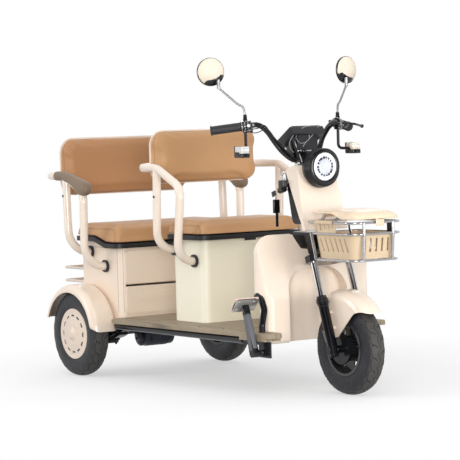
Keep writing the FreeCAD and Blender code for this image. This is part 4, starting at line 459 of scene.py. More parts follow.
# The material and the record's slot of each group of CAD nodes.
LOOKS = {
    ("tread", "tyre_rubber"): "front_tyre rear_tyre_right rear_tyre_left",
    ("black_rim", "rim_black"): "front_rim",
    ("rim_cream", "rim_cream"): "rear_rim_right rear_rim_left",
    ("black_frame", "frame_black"): "frame guards front_axle steering_stem lower_legs handlebar rear_axle"
                                    " leaf_springs",
    ("black_frame", "pedal_metal"): "brake_pedal",
    ("deck", "deck"): "floor_board",
    ("cream", "cream_paint"): "leg_shield head_shroud back_shells",
    ("box_cream", "cream_paint"): "rear_box rear_panels",
    ("fender_front", "cream_paint"): "front_fender",
    ("fender_rear", "cream_paint"): "rear_fenders",
    ("ivory", "ivory_box"): "front_seat_box",
    ("hoop", "hoop_cream"): "front_hoop rear_hoop",
    ("stanchion", "chrome"): "stanchions",
    ("chrome", "chrome"): "basket_frame",
    ("liner", "liner_beige"): "basket_liner",
    ("lid", "lid_cream"): "basket_lid",
    ("black_trim", "trim_black"): "head_cover headlight_bowl controls mirrors dash_box indicators"
                                  " front_seat_tray rear_seat_tray grommets cables",
    ("lens", "lens_clear"): "headlight_lens",
    ("mirror", "mirror"): "mirror_glasses",
    ("grip", "grip_rubber"): "grips",
    ("seat", "seat_leather"): "front_cushion rear_cushion back_pads",
    ("arm", "arm_pad"): "arm_pads",
    ("motor", "motor_blue"): "motor",
    ("bright", "bright_bar"): "bumper_bars",
    ("red", "lamp_red"): "tail_lamps",
}
for (look, slot_name), names in LOOKS.items():
    for node_name in names.split():
        cad = NODES[node_name]
        cad.data.materials.clear()
        cad.data.materials.append(M[look])


# Making pieces
def link_object(name, mesh, look, body, replaces=()):
    obj = bpy.data.objects.new(name, mesh)
    bpy.context.scene.collection.objects.link(obj)
    mesh.materials.clear()
    mesh.materials.append(M[look])
    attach(obj, body)
    if replaces:
        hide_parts(*replaces)
    return obj


def make_smooth(mesh):
    mesh.polygons.foreach_set("use_smooth", [True] * len(mesh.polygons))


def axes_from(direction):
    """Two directions square to the given one."""
    d = Vector(direction).normalized()
    helper = Z_AXIS if abs(d.z) < 0.9 else X_AXIS
    u = helper.cross(d).normalized()
    return u, d.cross(u)


class Form:
    """A mesh in the making. Places and directions are vectors; sizes and outlines are in millimetres."""

    def __init__(self):
        self.bm = bmesh.new()

    def ring(self, centre, u, v, wide, deep, count, power=1.0):
        """Points around an ellipse, or around a squarer shape where the power is less than 1."""
        points = []
        for k in range(count):
            c, s = math.cos(FULL_TURN * k / count), math.sin(FULL_TURN * k / count)
            along = math.copysign(abs(c) ** power, c) * wide * MM
            across = math.copysign(abs(s) ** power, s) * deep * MM
            points.append(self.bm.verts.new(centre + u * along + v * across))
        return points

    def skin(self, rings, close=False, ends=True):
        """Faces between rings of points. A ring may be a single point."""
        pairs = list(zip(rings, rings[1:]))
        if close:
            pairs.append((rings[-1], rings[0]))
        for a, b in pairs:
            for k in range(max(len(a), len(b))):
                corners = (a[k % len(a)], a[(k + 1) % len(a)], b[(k + 1) % len(b)], b[k % len(b)])
                corners = tuple(dict.fromkeys(corners))
                if len(corners) > 2:
                    self.bm.faces.new(corners)
        if ends and not close:
            for last in (rings[0][::-1], rings[-1]):
                if len(last) > 2:
                    self.bm.faces.new(last)

    def tube(self, points, radii, sides=12):
        """A tube along points, of one radius or one for each point, with rings that don't twist."""
        points = [Vector(p) for p in points]
        if not isinstance(radii, (list, tuple)):
            radii = [radii] * len(points)
        last = len(points) - 1
        u = None
        rings = []
        for i, (place, radius) in enumerate(zip(points, radii)):
            tangent = (points[min(last, i + 1)] - points[max(0, i - 1)]).normalized()
            u = axes_from(tangent)[0] if u is None else u
            u = (u - tangent * u.dot(tangent)).normalized()
            rings.append(self.ring(place, u, tangent.cross(u), radius, radius, sides))
        self.skin(rings)

    def lathe(self, profile, centre, axis, sides=32, close=False):
        """Turns (radius, place along the axis) points about an axis."""
        d = Vector(axis).normalized()
        u, v = axes_from(d)
        rings = []
        for radius, place in profile:
            point = Vector(centre) + d * (place * MM)
            rings.append(self.ring(point, u, v, radius, radius, sides if radius > 1e-6 else 1))
        self.skin(rings, close, ends=False)
        return self

    def block(self, centre, size, bevel, axes=None, segments=2):
        """A block with rounded edges, its three sizes along the given axes."""
        turn = Matrix(axes).transposed().to_4x4() if axes else Matrix.Identity(4)
        scale = Matrix.Diagonal((*(s * MM for s in size), 1.0))
        place = Matrix.Translation(Vector(centre)) @ turn @ scale
        made = bmesh.ops.create_cube(self.bm, size=1.0, matrix=place)
        edges = list({e for v in made["verts"] for e in v.link_edges})
        bmesh.ops.bevel(self.bm, geom=edges, offset=bevel * MM, segments=segments, affect="EDGES",
                        profile=0.6)

    def bolt(self, place, normal, radius, height):
        """A small hexagon head with a washer under it."""
        washer, low, crown, top = height * 0.35, height * 0.3, height * 1.1, height * 1.4
        self.lathe([(0, 0), (radius * 1.35, 0), (radius * 1.35, washer), (0, washer)], place, normal, 20)
        profile = [(0, low), (radius, low), (radius, crown), (radius * 0.86, top), (0, top)]
        self.lathe(profile, place, normal, 6)

    def piece(self, name, look, body, slot, angle, replaces=()):
        """Turns the form into an object of the scene."""
        bmesh.ops.recalc_face_normals(self.bm, faces=self.bm.faces)
        mesh = bpy.data.meshes.new(name)
        self.bm.to_mesh(mesh)
        self.bm.free()
        make_smooth(mesh)
        mesh.set_sharp_from_angle(angle=math.radians(angle))
        return link_object(name, mesh, look, body, replaces)


def smooth_path(points, step=0.006):
    """A Catmull-Rom line through points, resampled."""
    pts = [Vector(p) for p in points]
    pts = [pts[0] * 2 - pts[1]] + pts + [pts[-1] * 2 - pts[-2]]
    out = []
    for i in range(1, len(pts) - 2):
        a, b, c, d = pts[i - 1:i + 3]
        count = max(2, int((c - b).length / step))
        for k in range(count):
            t = k / count
            out.append(0.5 * ((2 * b) + (c - a) * t + (2 * a - 5 * b + 4 * c - d) * t * t
                              + (3 * b - 3 * c + d - a) * t ** 3))
    out.append(pts[-2])
    return out


# Floor, light and camera
CAMERA_AZIMUTH, CAMERA_ELEVATION, CAMERA_ROLL = 55.2, 3.0, 1.6
CAMERA_TARGET = (623.7, 0, 614.7)
CAMERA_DISTANCE = 9.9196
PICTURE_SIDE = 460.0
FOCAL_PIXELS = 2330.0
CENTRE_PIXEL = (230.3, 234.9)


def add_floor():
    """A white floor that fades to pure white away from the vehicle."""
    half = 30
    mesh = bpy.data.meshes.new("floor")
    corners = [(-half, -half, 0), (half, -half, 0), (half, half, 0), (-half, half, 0)]
    mesh.from_pydata(corners, [], [(0, 1, 2, 3)])
    floor = bpy.data.objects.new("floor", mesh)
    bpy.context.scene.collection.objects.link(floor)
    n = Nodes("floor")
    tone = n.patches(n.noise(0.8, 2.0), (0.955, 0.955, 0.958, 1), (0.97, 0.97, 0.97, 1))
    n.set(Base_Color=tone, Roughness=0.9, Specular_IOR_Level=0.1)
    glow = n.add("ShaderNodeEmission")
    glow.inputs["Color"].default_value = (1, 1, 1, 1)
    n.link(n.seen(), glow.inputs["Strength"])
    fade = n.ramp(n.vector("LENGTH", n.coord, output="Value"), 0.9, 2.0, 0.5, 1.0)
    n.link(n.blend(fade, n.bsdf.outputs[0], glow.outputs[0]), n.out.inputs["Surface"])
    mesh.materials.append(n.mat)


def add_world():
    """Pure white where it is seen, and a softer light on the vehicle."""
    world = bpy.data.worlds.new("studio")
    bpy.context.scene.world = world
    world.use_nodes = True
    tree = Tree(world.node_tree)
    shaders = []
    for colour, strength in (((0.97, 0.98, 1.0, 1), 0.72), ((1, 1, 1, 1), 1.0)):
        node = tree.add("ShaderNodeBackground")
        node.inputs["Color"].default_value = colour
        node.inputs["Strength"].default_value = strength
        shaders.append(node.outputs[0])
    tree.link(tree.blend(tree.seen(), *shaders), tree.add("ShaderNodeOutputWorld").inputs["Surface"])


def add_lamp(name, place, target, size, power, colour=(1, 1, 1)):
    light = bpy.data.lights.new(name, "AREA")
    light.shape = "RECTANGLE"
    light.size, light.size_y = size
    light.energy = power
    light.color = colour
    obj = bpy.data.objects.new(name, light)
    bpy.context.scene.collection.objects.link(obj)
    obj.location = place
    obj.rotation_mode = "QUATERNION"
    obj.rotation_quaternion = (Vector(target) - Vector(place)).to_track_quat("-Z", "Y")


def add_cards():
    """Dark curved cards behind the camera, seen only in glossy surfaces, as in a studio."""
    radius, low, high, steps = 12.0, 0.2, 12.0, 12
    n = Nodes("dark_card")
    tone = n.patches(n.noise(0.6, 2.0), (0.02, 0.02, 0.022, 1), (0.035, 0.035, 0.037, 1))
    n.set(Base_Color=tone, Roughness=1.0, Specular_IOR_Level=0.0)
    for name, first, last in (("card_right", -84, -10), ("card_left", 2, 70)):
        verts = []
        for k in range(steps + 1):
            turn = math.radians(CAMERA_AZIMUTH + first + (last - first) * k / steps)
            verts += [(math.sin(turn) * radius, -math.cos(turn) * radius, z) for z in (low, high)]
        faces = [(2 * k, 2 * k + 2, 2 * k + 3, 2 * k + 1) for k in range(steps)]
        mesh = bpy.data.meshes.new(name)
        mesh.from_pydata(verts, [], faces)
        mesh.materials.append(n.mat)
        card = bpy.data.objects.new(name, mesh)
        bpy.context.scene.collection.objects.link(card)
        card.visible_camera = card.visible_diffuse = card.visible_shadow = card.visible_transmission = False


def add_camera():
    """The camera that was fitted to the photograph."""
    azimuth, elevation, roll = (math.radians(a) for a in (CAMERA_AZIMUTH, CAMERA_ELEVATION, CAMERA_ROLL))
    back = Vector((math.sin(azimuth) * math.cos(elevation), -math.cos(azimuth) * math.cos(elevation),
                   math.sin(elevation)))
    right = Z_AXIS.cross(back).normalized()
    down = right.cross(back)
    x_axis = right * math.cos(roll) + down * math.sin(roll)
    y_down = right * -math.sin(roll) + down * math.cos(roll)
    camera = bpy.data.cameras.new("camera")
    camera.sensor_width = 36.0
    camera.lens = FOCAL_PIXELS * camera.sensor_width / PICTURE_SIDE
    camera.shift_x = (PICTURE_SIDE / 2 - CENTRE_PIXEL[0]) / PICTURE_SIDE
    camera.shift_y = (CENTRE_PIXEL[1] - PICTURE_SIDE / 2) / PICTURE_SIDE
    camera.clip_start, camera.clip_end = 0.1, 200
    obj = bpy.data.objects.new("camera", camera)
    bpy.context.scene.collection.objects.link(obj)
    turn = Matrix((x_axis, -y_down, back)).transposed().to_4x4()
    turn.translation = at(*CAMERA_TARGET) + back * CAMERA_DISTANCE
    obj.matrix_world = turn
    bpy.context.scene.camera = obj


def stage_and_light():
    add_floor()
    add_world()
    add_lamp("key", (2.6, -1.6, 3.0), (0.1, 0, 0.5), (2.2, 1.6), 14, (1.0, 0.995, 0.98))
    add_lamp("front", (4.6, 0.8, 0.8), (0.4, 0, 0.5), (1.6, 1.4), 74)
    add_lamp("side", (-1.6, -3.4, 1.6), (-0.3, 0, 0.5), (1.4, 2.2), 36)
    add_lamp("back", (-2.6, 2.0, 2.6), (0, 0, 0.7), (2.0, 1.4), 12)
    add_lamp("fill", (5.2, -3.8, 1.2), (0.1, 0, 0.45), (2.4, 1.6), 165, (1.0, 0.995, 0.985))
    add_cards()
    add_camera()
    bpy.context.scene.view_settings.view_transform = "Standard"


stage_and_light()


# Cushions and back pads
def split_by_x(node_name):
    """The pieces of a node's mesh that don't touch each other, from rear to front."""
    bm = bmesh.new()
    bm.from_mesh(NODES[node_name].data)
    bmesh.ops.remove_doubles(bm, verts=bm.verts, dist=1e-6)
    seen, groups = set(), []
    bm.verts.ensure_lookup_table()
    for start in bm.verts:
        if start.index in seen:
            continue
        stack, group = [start], set()
        seen.add(start.index)
        while stack:
            vert = stack.pop()
            group.add(vert.index)
            for edge in vert.link_edges:
                other = edge.other_vert(vert)
                if other.index not in seen:
                    seen.add(other.index)
                    stack.append(other)
        groups.append(group)
    out = []
    for group in groups:
        part = bm.copy()
        part.verts.ensure_lookup_table()
        bmesh.ops.delete(part, geom=[v for v in part.verts if v.index not in group], context="VERTS")
        out.append(part)
    bm.free()
    out.sort(key=lambda b: sum(v.co.x for v in b.verts) / len(b.verts))
    return out


def read(mesh, what):
    """One row for each point of a mesh: its place, "co", or its "normal"."""
    values = np.empty(len(mesh.vertices) * 3)
    mesh.vertices.foreach_get(what, values)
    return values.reshape(-1, 3)


def write(mesh, places):
    mesh.vertices.foreach_set("co", places.reshape(-1))
    mesh.update()


def store(mesh, name, values):
    """Keeps a number for each point, which the material reads by its name."""
    attribute = mesh.attributes.new(name, "FLOAT", "POINT")
    attribute.data.foreach_set("value", values.astype(np.float32).reshape(-1))


def apply_all(obj):
    """Puts the result of an object's modifiers into its mesh."""
    graph = bpy.context.evaluated_depsgraph_get()
    graph.update()
    mesh = bpy.data.meshes.new_from_object(obj.evaluated_get(graph))
    mesh.name = obj.name
    obj.modifiers.clear()
    old = obj.data
    obj.data = mesh
    bpy.data.meshes.remove(old)


def modify(obj, kind, **settings):
    modifier = obj.modifiers.new(kind.lower(), kind)
    for key, value in settings.items():
        setattr(modifier, key, value)
    apply_all(obj)


def subdivide(obj):
    modify(obj, "SUBSURF", levels=1, render_levels=1)


def puff(obj, pinned, cap):
    """Blows a closed mesh up with Blender's cloth and keeps each point within cap of its start."""
    frames = 20
    before = read(obj.data, "co")
    group = obj.vertex_groups.new(name="pin")
    held = [i for i, co in enumerate(before) if pinned(co)]
    if held:
        group.add(held, 1.0, "REPLACE")
    cloth = obj.modifiers.new("cloth", "CLOTH")
    cloth.settings.quality = 5
    cloth.settings.mass = 0.3
    cloth.settings.tension_stiffness = 18
    cloth.settings.compression_stiffness = 18
    cloth.settings.bending_stiffness = 0.6
    cloth.settings.use_pressure = True
    cloth.settings.uniform_pressure_force = 4.0
    cloth.settings.effector_weights.gravity = 0.0
    cloth.settings.vertex_group_mass = "pin"
    cloth.collision_settings.use_collision = False
    cloth.point_cache.frame_start = 1
    cloth.point_cache.frame_end = frames
    scene = bpy.context.scene
    for frame_number in range(1, frames + 1):
        scene.frame_set(frame_number)
    apply_all(obj)
    step = read(obj.data, "co") - before
    size = np.linalg.norm(step, axis=1)
    share = np.minimum(1.0, cap / np.maximum(size, 1e-9))
    write(obj.data, before + step * share[:, None])
    scene.frame_set(1)


def pad_from(bm, name, body, look, voxel, pinned, cap, seam, depth=0.003, width=0.0055, rounds=6):
    """A soft pad with one sewn seam. The function seam gives each point's distance from the seam's line."""
    inward = 0.004
    mesh = bpy.data.meshes.new(name)
    bm.to_mesh(mesh)
    bm.free()
    obj = bpy.data.objects.new(name, mesh)
    bpy.context.scene.collection.objects.link(obj)
    bpy.context.view_layer.update()
    modify(obj, "REMESH", mode="VOXEL", voxel_size=voxel)
    modify(obj, "SMOOTH", iterations=rounds, factor=0.5)
    write(obj.data, read(obj.data, "co") - read(obj.data, "normal") * inward)
    puff(obj, pinned, cap)
    modify(obj, "SMOOTH", iterations=14, factor=0.5)
    subdivide(obj)
    places = read(obj.data, "co")
    mark = np.clip(1 - np.abs(seam(places)) / width, 0, 1) ** 1.5
    write(obj.data, places - read(obj.data, "normal") * (mark * depth)[:, None])
    # The seat material darkens this mark: painted shade in the seam's groove.
    store(obj.data, "seam", mark)
    make_smooth(obj.data)
    obj.data.materials.append(M[look])
    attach(obj, body)
    return obj


def mm_of(co):
    """Places in millimetres, X from the rear axle."""
    return co[..., 0] / MM + ORIGIN_X, co[..., 1] / MM, co[..., 2] / MM


def rounded_rectangle_distance(u, v, half_u, half_v, radius):
    """Signed distance from a rectangle with rounded corners."""
    qu = np.abs(u) - (half_u - radius)
    qv = np.abs(v) - (half_v - radius)
    outside = np.hypot(np.maximum(qu, 0), np.maximum(qv, 0))
    return outside + np.minimum(np.maximum(qu, qv), 0) - radius


def seat_seam(rear, front, half, top):
    """Sewn line of a seat cushion's end panels: along the top edge, then down near both corners."""
    below_top, panel_half, from_end, corner = 17, 120, 30, 24
    middle = (rear + front) / 2

    def distance(co):
        x, y, z = mm_of(co)
        line = rounded_rectangle_distance(x - middle, z - (top - below_top - panel_half),
                                          (front - rear) / 2 - from_end, panel_half, corner)
        return np.where(np.abs(y) > half - 24, line, 1000.0) * MM

    return distance


def cushion(node_name, name, body, voxel, pinned, seam):
    bm = bmesh.new()
    bm.from_mesh(NODES[node_name].data)
    pad = pad_from(bm, name, body, "seat", voxel, pinned, cap=0.010, seam=seam)
    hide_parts(node_name)


def make_cushions():
    """The two seats and the two back rests. The part of a pad next to its base stays put."""
    band = 9
    front_base = 629.3
    tray_high, tray_step, step_start, step_length, base_above_tray = 589, 27, 60, 90, 20

    def near_front_tray(co):
        return co[2] < (front_base + band) * MM

    def near_rear_tray(co):
        x, _, z = mm_of(co)
        tray = tray_high - tray_step * np.clip((x - step_start) / step_length, 0, 1)
        return z < tray + base_above_tray + band

    cushion("front_cushion", "front_seat_pad", "front_seat", 0.006, near_front_tray,
            seat_seam(508, 797, 264, 685))
    cushion("rear_cushion", "rear_seat_pad", "rear_seat", 0.0065, near_rear_tray,
            seat_seam(-112, 245, 337, 660))
    overlap, tube_to_pad, held_depth, welt_depth = 7, 40.3, 5, 16
    # The rear back pad takes the darker leather, which paints the shade on it.
    places = (("rear_back_pad", -270, 330, 785, 1041, "seat_shaded"),
              ("front_back_pad", 372, 268, 840, 1067, "seat"))
    for bm, (name, bar, half, low, high, look) in zip(split_by_x("back_pads"), places):
        start = bar + HOOP_TUBE_RADIUS + tube_to_pad
        middle, reach = (low + high) / 2, (high - low) / 2
        # The cover rolls over the shell's rim, so its outline is larger before it is blown up.
        for vert in bm.verts:
            vert.co.y *= (half + overlap) / half
            vert.co.z = (middle + (vert.co.z / MM - middle) * (reach + overlap) / reach) * MM
        pad_from(bm, name, "chassis", look, 0.006, lambda co: mm_of(co)[0] < start + held_depth, cap=0.012,
                 seam=lambda co: (mm_of(co)[0] - (start + welt_depth)) * MM, depth=0.0016,
                 width=0.0045, rounds=9)
    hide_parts("back_pads")


# Tyres
def tyre(name, body, node, centre):
    """A scooter tyre: curved cross grooves that end in scallops at the shoulder, and ridged side walls."""
    turns, across, repeats = 616, 48, 22
    crown_half, crown_drop, bead = 30.5, 7.5, 104.0
    crown_share, wall_turn = 0.62, math.pi * 0.62
    wall_bulge, wall_tuck = 9.4, 17
    scallop_reach, scallop_wave, centre_wave = 27.0, 6.0, 5.0
    arm_from, arm_to, arm_lean = 7.0, 29.0, 0.42
    groove_depth, grooves_end = 3.2, 36.0
    ridge_low, ridge_high, ridge_height, ridge_pitch = 108.0, 136.0, 0.9, 7.0
    shoulder = TYRE_RADIUS - crown_drop
    profile = []
    for j in range(across + 1):
        t = -1 + 2 * j / across
        a = abs(t)
        if a < crown_share:
            s = a / crown_share
            y, r = s * crown_half, TYRE_RADIUS - crown_drop * s ** 2.1
        else:
            angle = (a - crown_share) / (1 - crown_share) * wall_turn
            tuck = max(0, angle - math.pi / 2) * wall_tuck
            y = crown_half + wall_bulge * math.sin(min(angle, math.pi / 2)) - tuck
            r = shoulder - (shoulder - bead) * (1 - math.cos(angle)) / (1 - math.cos(wall_turn))
        profile.append((math.copysign(y, t), r))
    y, r = (np.array(column)[None, :] for column in zip(*profile))
    angle = (FULL_TURN * np.arange(turns) / turns)[:, None]
    reach, side = np.abs(y), np.where(y > 0, 1.0, -1.0)
    phase = angle / (FULL_TURN / repeats) + np.where(side > 0, 0.5, 0.0)

    def groove(distance, half, edge):
        """1 on a groove's floor, and 0 outside the groove."""
        return np.clip(1 - np.maximum(0, distance - half) / edge, 0, 1)

    scallop = scallop_reach + scallop_wave * np.sin(math.pi * (phase - np.floor(phase)))
    depth = groove(np.abs(reach - scallop), 0.7, 1.3)
    depth = np.maximum(depth, groove(np.abs(y - centre_wave * np.sin(repeats * angle)), 0.7, 1.3))
    lean = arm_lean * (1 - np.clip(reach / scallop_reach, 0, 1)) ** 1.6
    arm = np.abs((phase - lean + 0.5) % 1.0 - 0.5) * FULL_TURN / repeats * TYRE_RADIUS
    depth = np.maximum(depth, groove(arm, 1.0, 1.5) * (reach > arm_from) * (reach < arm_to))
    radial = r - depth * groove_depth * (reach < grooves_end)
    ridge = ridge_height * np.sin((r - ridge_low) * FULL_TURN / ridge_pitch)
    ridge = ridge * ((r < ridge_high) & (r > ridge_low))
    xs = radial * np.sin(angle) * MM + centre.x
    zs = radial * np.cos(angle) * MM + centre.z
    ys = np.broadcast_to(y + side * ridge, xs.shape) * MM + centre.y
    verts = np.stack([xs, ys, zs], axis=-1).reshape(-1, 3)
    count = across + 1
    faces = []
    for i in range(turns):
        here, there = i * count, (i + 1) % turns * count
        for j in range(across):
            faces.append((here + j, there + j, there + j + 1, here + j + 1))
        faces.append((here + across, there + across, there, here))
    mesh = bpy.data.meshes.new(name)
    mesh.from_pydata(verts.tolist(), [], faces)
    bm = bmesh.new()
    bm.from_mesh(mesh)
    bmesh.ops.recalc_face_normals(bm, faces=bm.faces)
    bm.to_mesh(mesh)
    bm.free()
    make_smooth(mesh)
    # The tread material darkens the grooves by this value, as painted shade.
    store(mesh, "groove", depth)
    store(mesh, "crown", np.broadcast_to(np.clip((r - 168.0) / 8.0, 0, 1), xs.shape))
    link_object(name, mesh, "tread", body, [node])


def make_tyres():
    tyre("tyre_front", "front_wheel", "front_tyre", ahead(0, 0, TYRE_RADIUS))
    for side, tag in SIDES:
        centre = at(0, side * HALF_TRACK, TYRE_RADIUS)
        tyre("tyre_rear_" + tag, "rear_wheel_" + tag, "rear_tyre_" + tag, centre)


# Armrest pads
ARM_PAD_RINGS = (  # place along X, middle height, half height, half width, all in mm
    (-105, 876, 14, 14), (-104, 876, 18.6, 18.6), (-100, 876.5, 20.6, 20.6), (-60, 877.5, 20.8, 21.4),
    (-30, 875, 21, 21.8), (8, 866, 21, 22.2), (35, 856.5, 23, 23), (55, 848.5, 26, 24.4),
    (75, 839, 31.5, 26), (95, 829.5, 36, 27), (114, 825.5, 35.5, 27), (133, 824, 31.5, 26),
    (146, 823, 26, 23), (155, 822, 19, 17.5), (160, 821.5, 12, 11), (162.5, 821, 5, 5))


def make_arm_pads():
    """Soft pads moulded over the rear armrests, from the level tube to a bulb over the front bend."""
    places = np.array(ARM_PAD_RINGS, dtype=float)
    gaps = zip(places[:-1, 0], places[1:, 0])
    fine = np.concatenate([np.linspace(a, b, 3, endpoint=False) for a, b in gaps] + [places[-1:, 0]])
    values = []
    for column in (1, 2, 3):
        smooth = np.interp(fine, places[:, 0], places[:, column])
        for _ in range(2):
            smooth[2:-2] = 0.25 * smooth[1:-3] + 0.5 * smooth[2:-2] + 0.25 * smooth[3:-1]
        values.append(smooth)
    for side, tag in SIDES:
        form = Form()
        form.skin([form.ring(at(x, side * REAR_HOOP_HALF, z), Z_AXIS, Y_AXIS, high, wide, 40, 0.86)
                   for x, z, high, wide in zip(fine, *values)])
        obj = form.piece("arm_sleeve_" + tag, "arm", "chassis", "arm_pad", 60)
        subdivide(obj)
        make_smooth(obj.data)
    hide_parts("arm_pads")


# Mirrors
def make_mirrors():
    """Domed cream backs in a black rim, each set as its rider left it, on bent grey stems."""
    up = Z_AXIS
    radius, dome = 57.5, 24.0
    ball = (radius ** 2 + dome ** 2) / (2 * dome)
    cap_start, cap_sweep, cap_steps, cap_outer = -34, 108, 20, 57.2

    def depth_at(r):
        return dome - (ball - math.sqrt(ball ** 2 - r ** 2))

    def cap_row(form, centre, look, inner, share, lift):
        """Points of the cover at one share of its width, 0 inside and 1 at the mirror's rim."""
        row = []
        for k in range(cap_steps + 1):
            a = math.radians(cap_start + cap_sweep * k / cap_steps)
            off_middle = abs(2 * k / cap_steps - 1)
            low = 30 + 10 * off_middle ** 2
            r = low + (cap_outer - low) * share
            edge = 1 - max(0.0, off_middle - 0.9) * 8
            height = depth_at(min(r, 56.6)) + 0.6 + lift * min(edge, share * 6 + 0.2)
            way = -up * math.cos(a) + inner * math.sin(a)
            row.append(form.bm.verts.new(centre + way * (r * MM) - look * (height * MM)))
        return row

    for side, tag, toe in ((-1, "right", 15.0), (1, "left", 8.0)):
        turn = math.radians(toe)
        centre = ahead(-426, side * 345, 1300)
        look = Vector((-math.cos(turn), -side * math.sin(turn), 0))
        inner = Vector((look.y, -look.x, 0)) * -side
        profile = [(r, -(depth_at(r) + 0.6)) for r in np.linspace(0, 55.0, 15)]
        profile += [(55.2, 0.5), (50, 1), (0, 1)]
        form = Form().lathe(profile, centre, look, 64)
        form.piece("mirror_back_" + tag, "mirror_cream", "steering", "cream_paint", 50)
        profile = ((54.5, -1.6), (57, -0.6), (57.5, 1.2), (57.5, 7.4), (56.4, 8.6), (54, 8.6), (53.2, 7),
                   (53.2, 2))
        form = Form().lathe(profile, centre, look, 64, close=True)
        form.piece("mirror_rim_" + tag, "gloss_black", "steering", "trim_black", 40)
        form = Form().lathe(((0, 4.6), (53.4, 4.6), (53.4, 6.8), (52.0, 7.4), (0, 7.9)), centre, look, 64)
        form.piece("mirror_disc_" + tag, "mirror", "steering", "mirror", 30)

        # Black cover on the edge that points down and to the middle
        form = Form()
        borders = []
        for lift in (2.4, 0.2):
            grid = [cap_row(form, centre, look, inner, i / 9, lift) for i in range(10)]
            for a, b in zip(grid, grid[1:]):
                for k in range(len(a) - 1):
                    form.bm.faces.new((a[k], a[k + 1], b[k + 1], b[k]))
            borders.append(grid[0] + [row[-1] for row in grid[1:]] + grid[-1][-2::-1]
                           + [row[0] for row in grid[-2:0:-1]])
        form.skin(borders, ends=False)
        form.piece("mirror_cap_" + tag, "gloss_black", "steering", "trim_black", 50)

        # Stem from the switch housing to the cover
        foot = ahead(-352, side * 234.4, 1092)
        joint = centre - up * 0.036 + inner * 0.024 - look * 0.020
        knee = foot + up * 0.050
        low_joint = joint - up * 0.030 + inner * 0.001
        run = low_joint - knee
        form = Form()
        form.tube(smooth_path([foot, foot + up * 0.030, knee + run * 0.07 + up * 0.006, knee + run * 0.3,
                               knee + run * 0.7, low_joint]), 4.6, 14)
        form.tube([low_joint - up * 0.004, joint + up * 0.004], 7.2, 18)
        form.piece("mirror_stem_" + tag, "stem_grey", "steering", "chrome", 50)
        profile = ((0, 0), (12, 0), (12, 5), (9.4, 6), (9.4, 14), (8.2, 16), (7.6, 30), (5.4, 33), (0, 33))
        form = Form().lathe(profile, foot, up, 24)
        form.piece("mirror_foot_" + tag, "gloss_black", "steering", "trim_black", 40)
    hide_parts("mirrors")
    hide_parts("mirror_glasses")


# Headlamp
def make_lamp():
    """Glowing ring and dish with a circle of small lamps, under a clear cover in a black bezel."""
    centre = ahead(-136, 0, 908)
    profile = ((41, -1.5), (42, 0.8), (48, 2.0), (53, 1.0), (56, -1.0), (55, -4), (41, -4))
    form = Form().lathe(profile, centre, X_AXIS, 72, close=True)
    form.piece("lamp_ring", "lamp_white", "steering", "lens_clear", 50)
    profile = ((0, -2.2), (14, -2.6), (29, -3.6), (42, -3.2), (41.5, -5), (0, -5))
    form = Form().lathe(profile, centre, X_AXIS, 72)
    form.piece("lamp_dish", "lamp_centre", "steering", "lens_clear", 30)

    draw = random.Random(7)
    count, radius, size = 18, 36.0, 5.4
    form = Form()
    for k in range(count):
        a = FULL_TURN * (k + draw.uniform(-0.2, 0.2)) / count
        r = radius + draw.uniform(-0.8, 0.8)
        spot = centre + Vector((-3.0, math.cos(a) * r, math.sin(a) * r)) * MM
        real = size * draw.uniform(0.7, 1.1)
        form.lathe(((0, -1), (real, -1), (real, 1.2), (real * 0.7, 2.6), (0, 3)), spot, X_AXIS, 12)
    form.piece("lamp_leds", "lamp_dark", "steering", "lens_clear", 50)

    profile = ((40.8, 0.6), (31, 1.6), (17, 2.4), (0, 2.7), (0, 2.2), (17, 1.9), (31, 1.1), (40.8, 0.1))
    form = Form().lathe(profile, centre, X_AXIS, 64)
    form.piece("lamp_cover", "lens", "steering", "lens_clear", 50, ["headlight_lens"])
    form = Form()
    for profile in (((56.3, -2), (57.5, 1.4), (62, 2.4), (69, 1.6), (73.4, -1.0), (73.4, -4), (56.3, -4)),
                    ((73.2, -9), (74.3, -11), (74.3, -15), (73.2, -17), (70, -13))):
        form.lathe(profile, centre, X_AXIS, 72, close=True)
    form.piece("lamp_bezel", "gloss_black", "steering", "trim_black", 50)


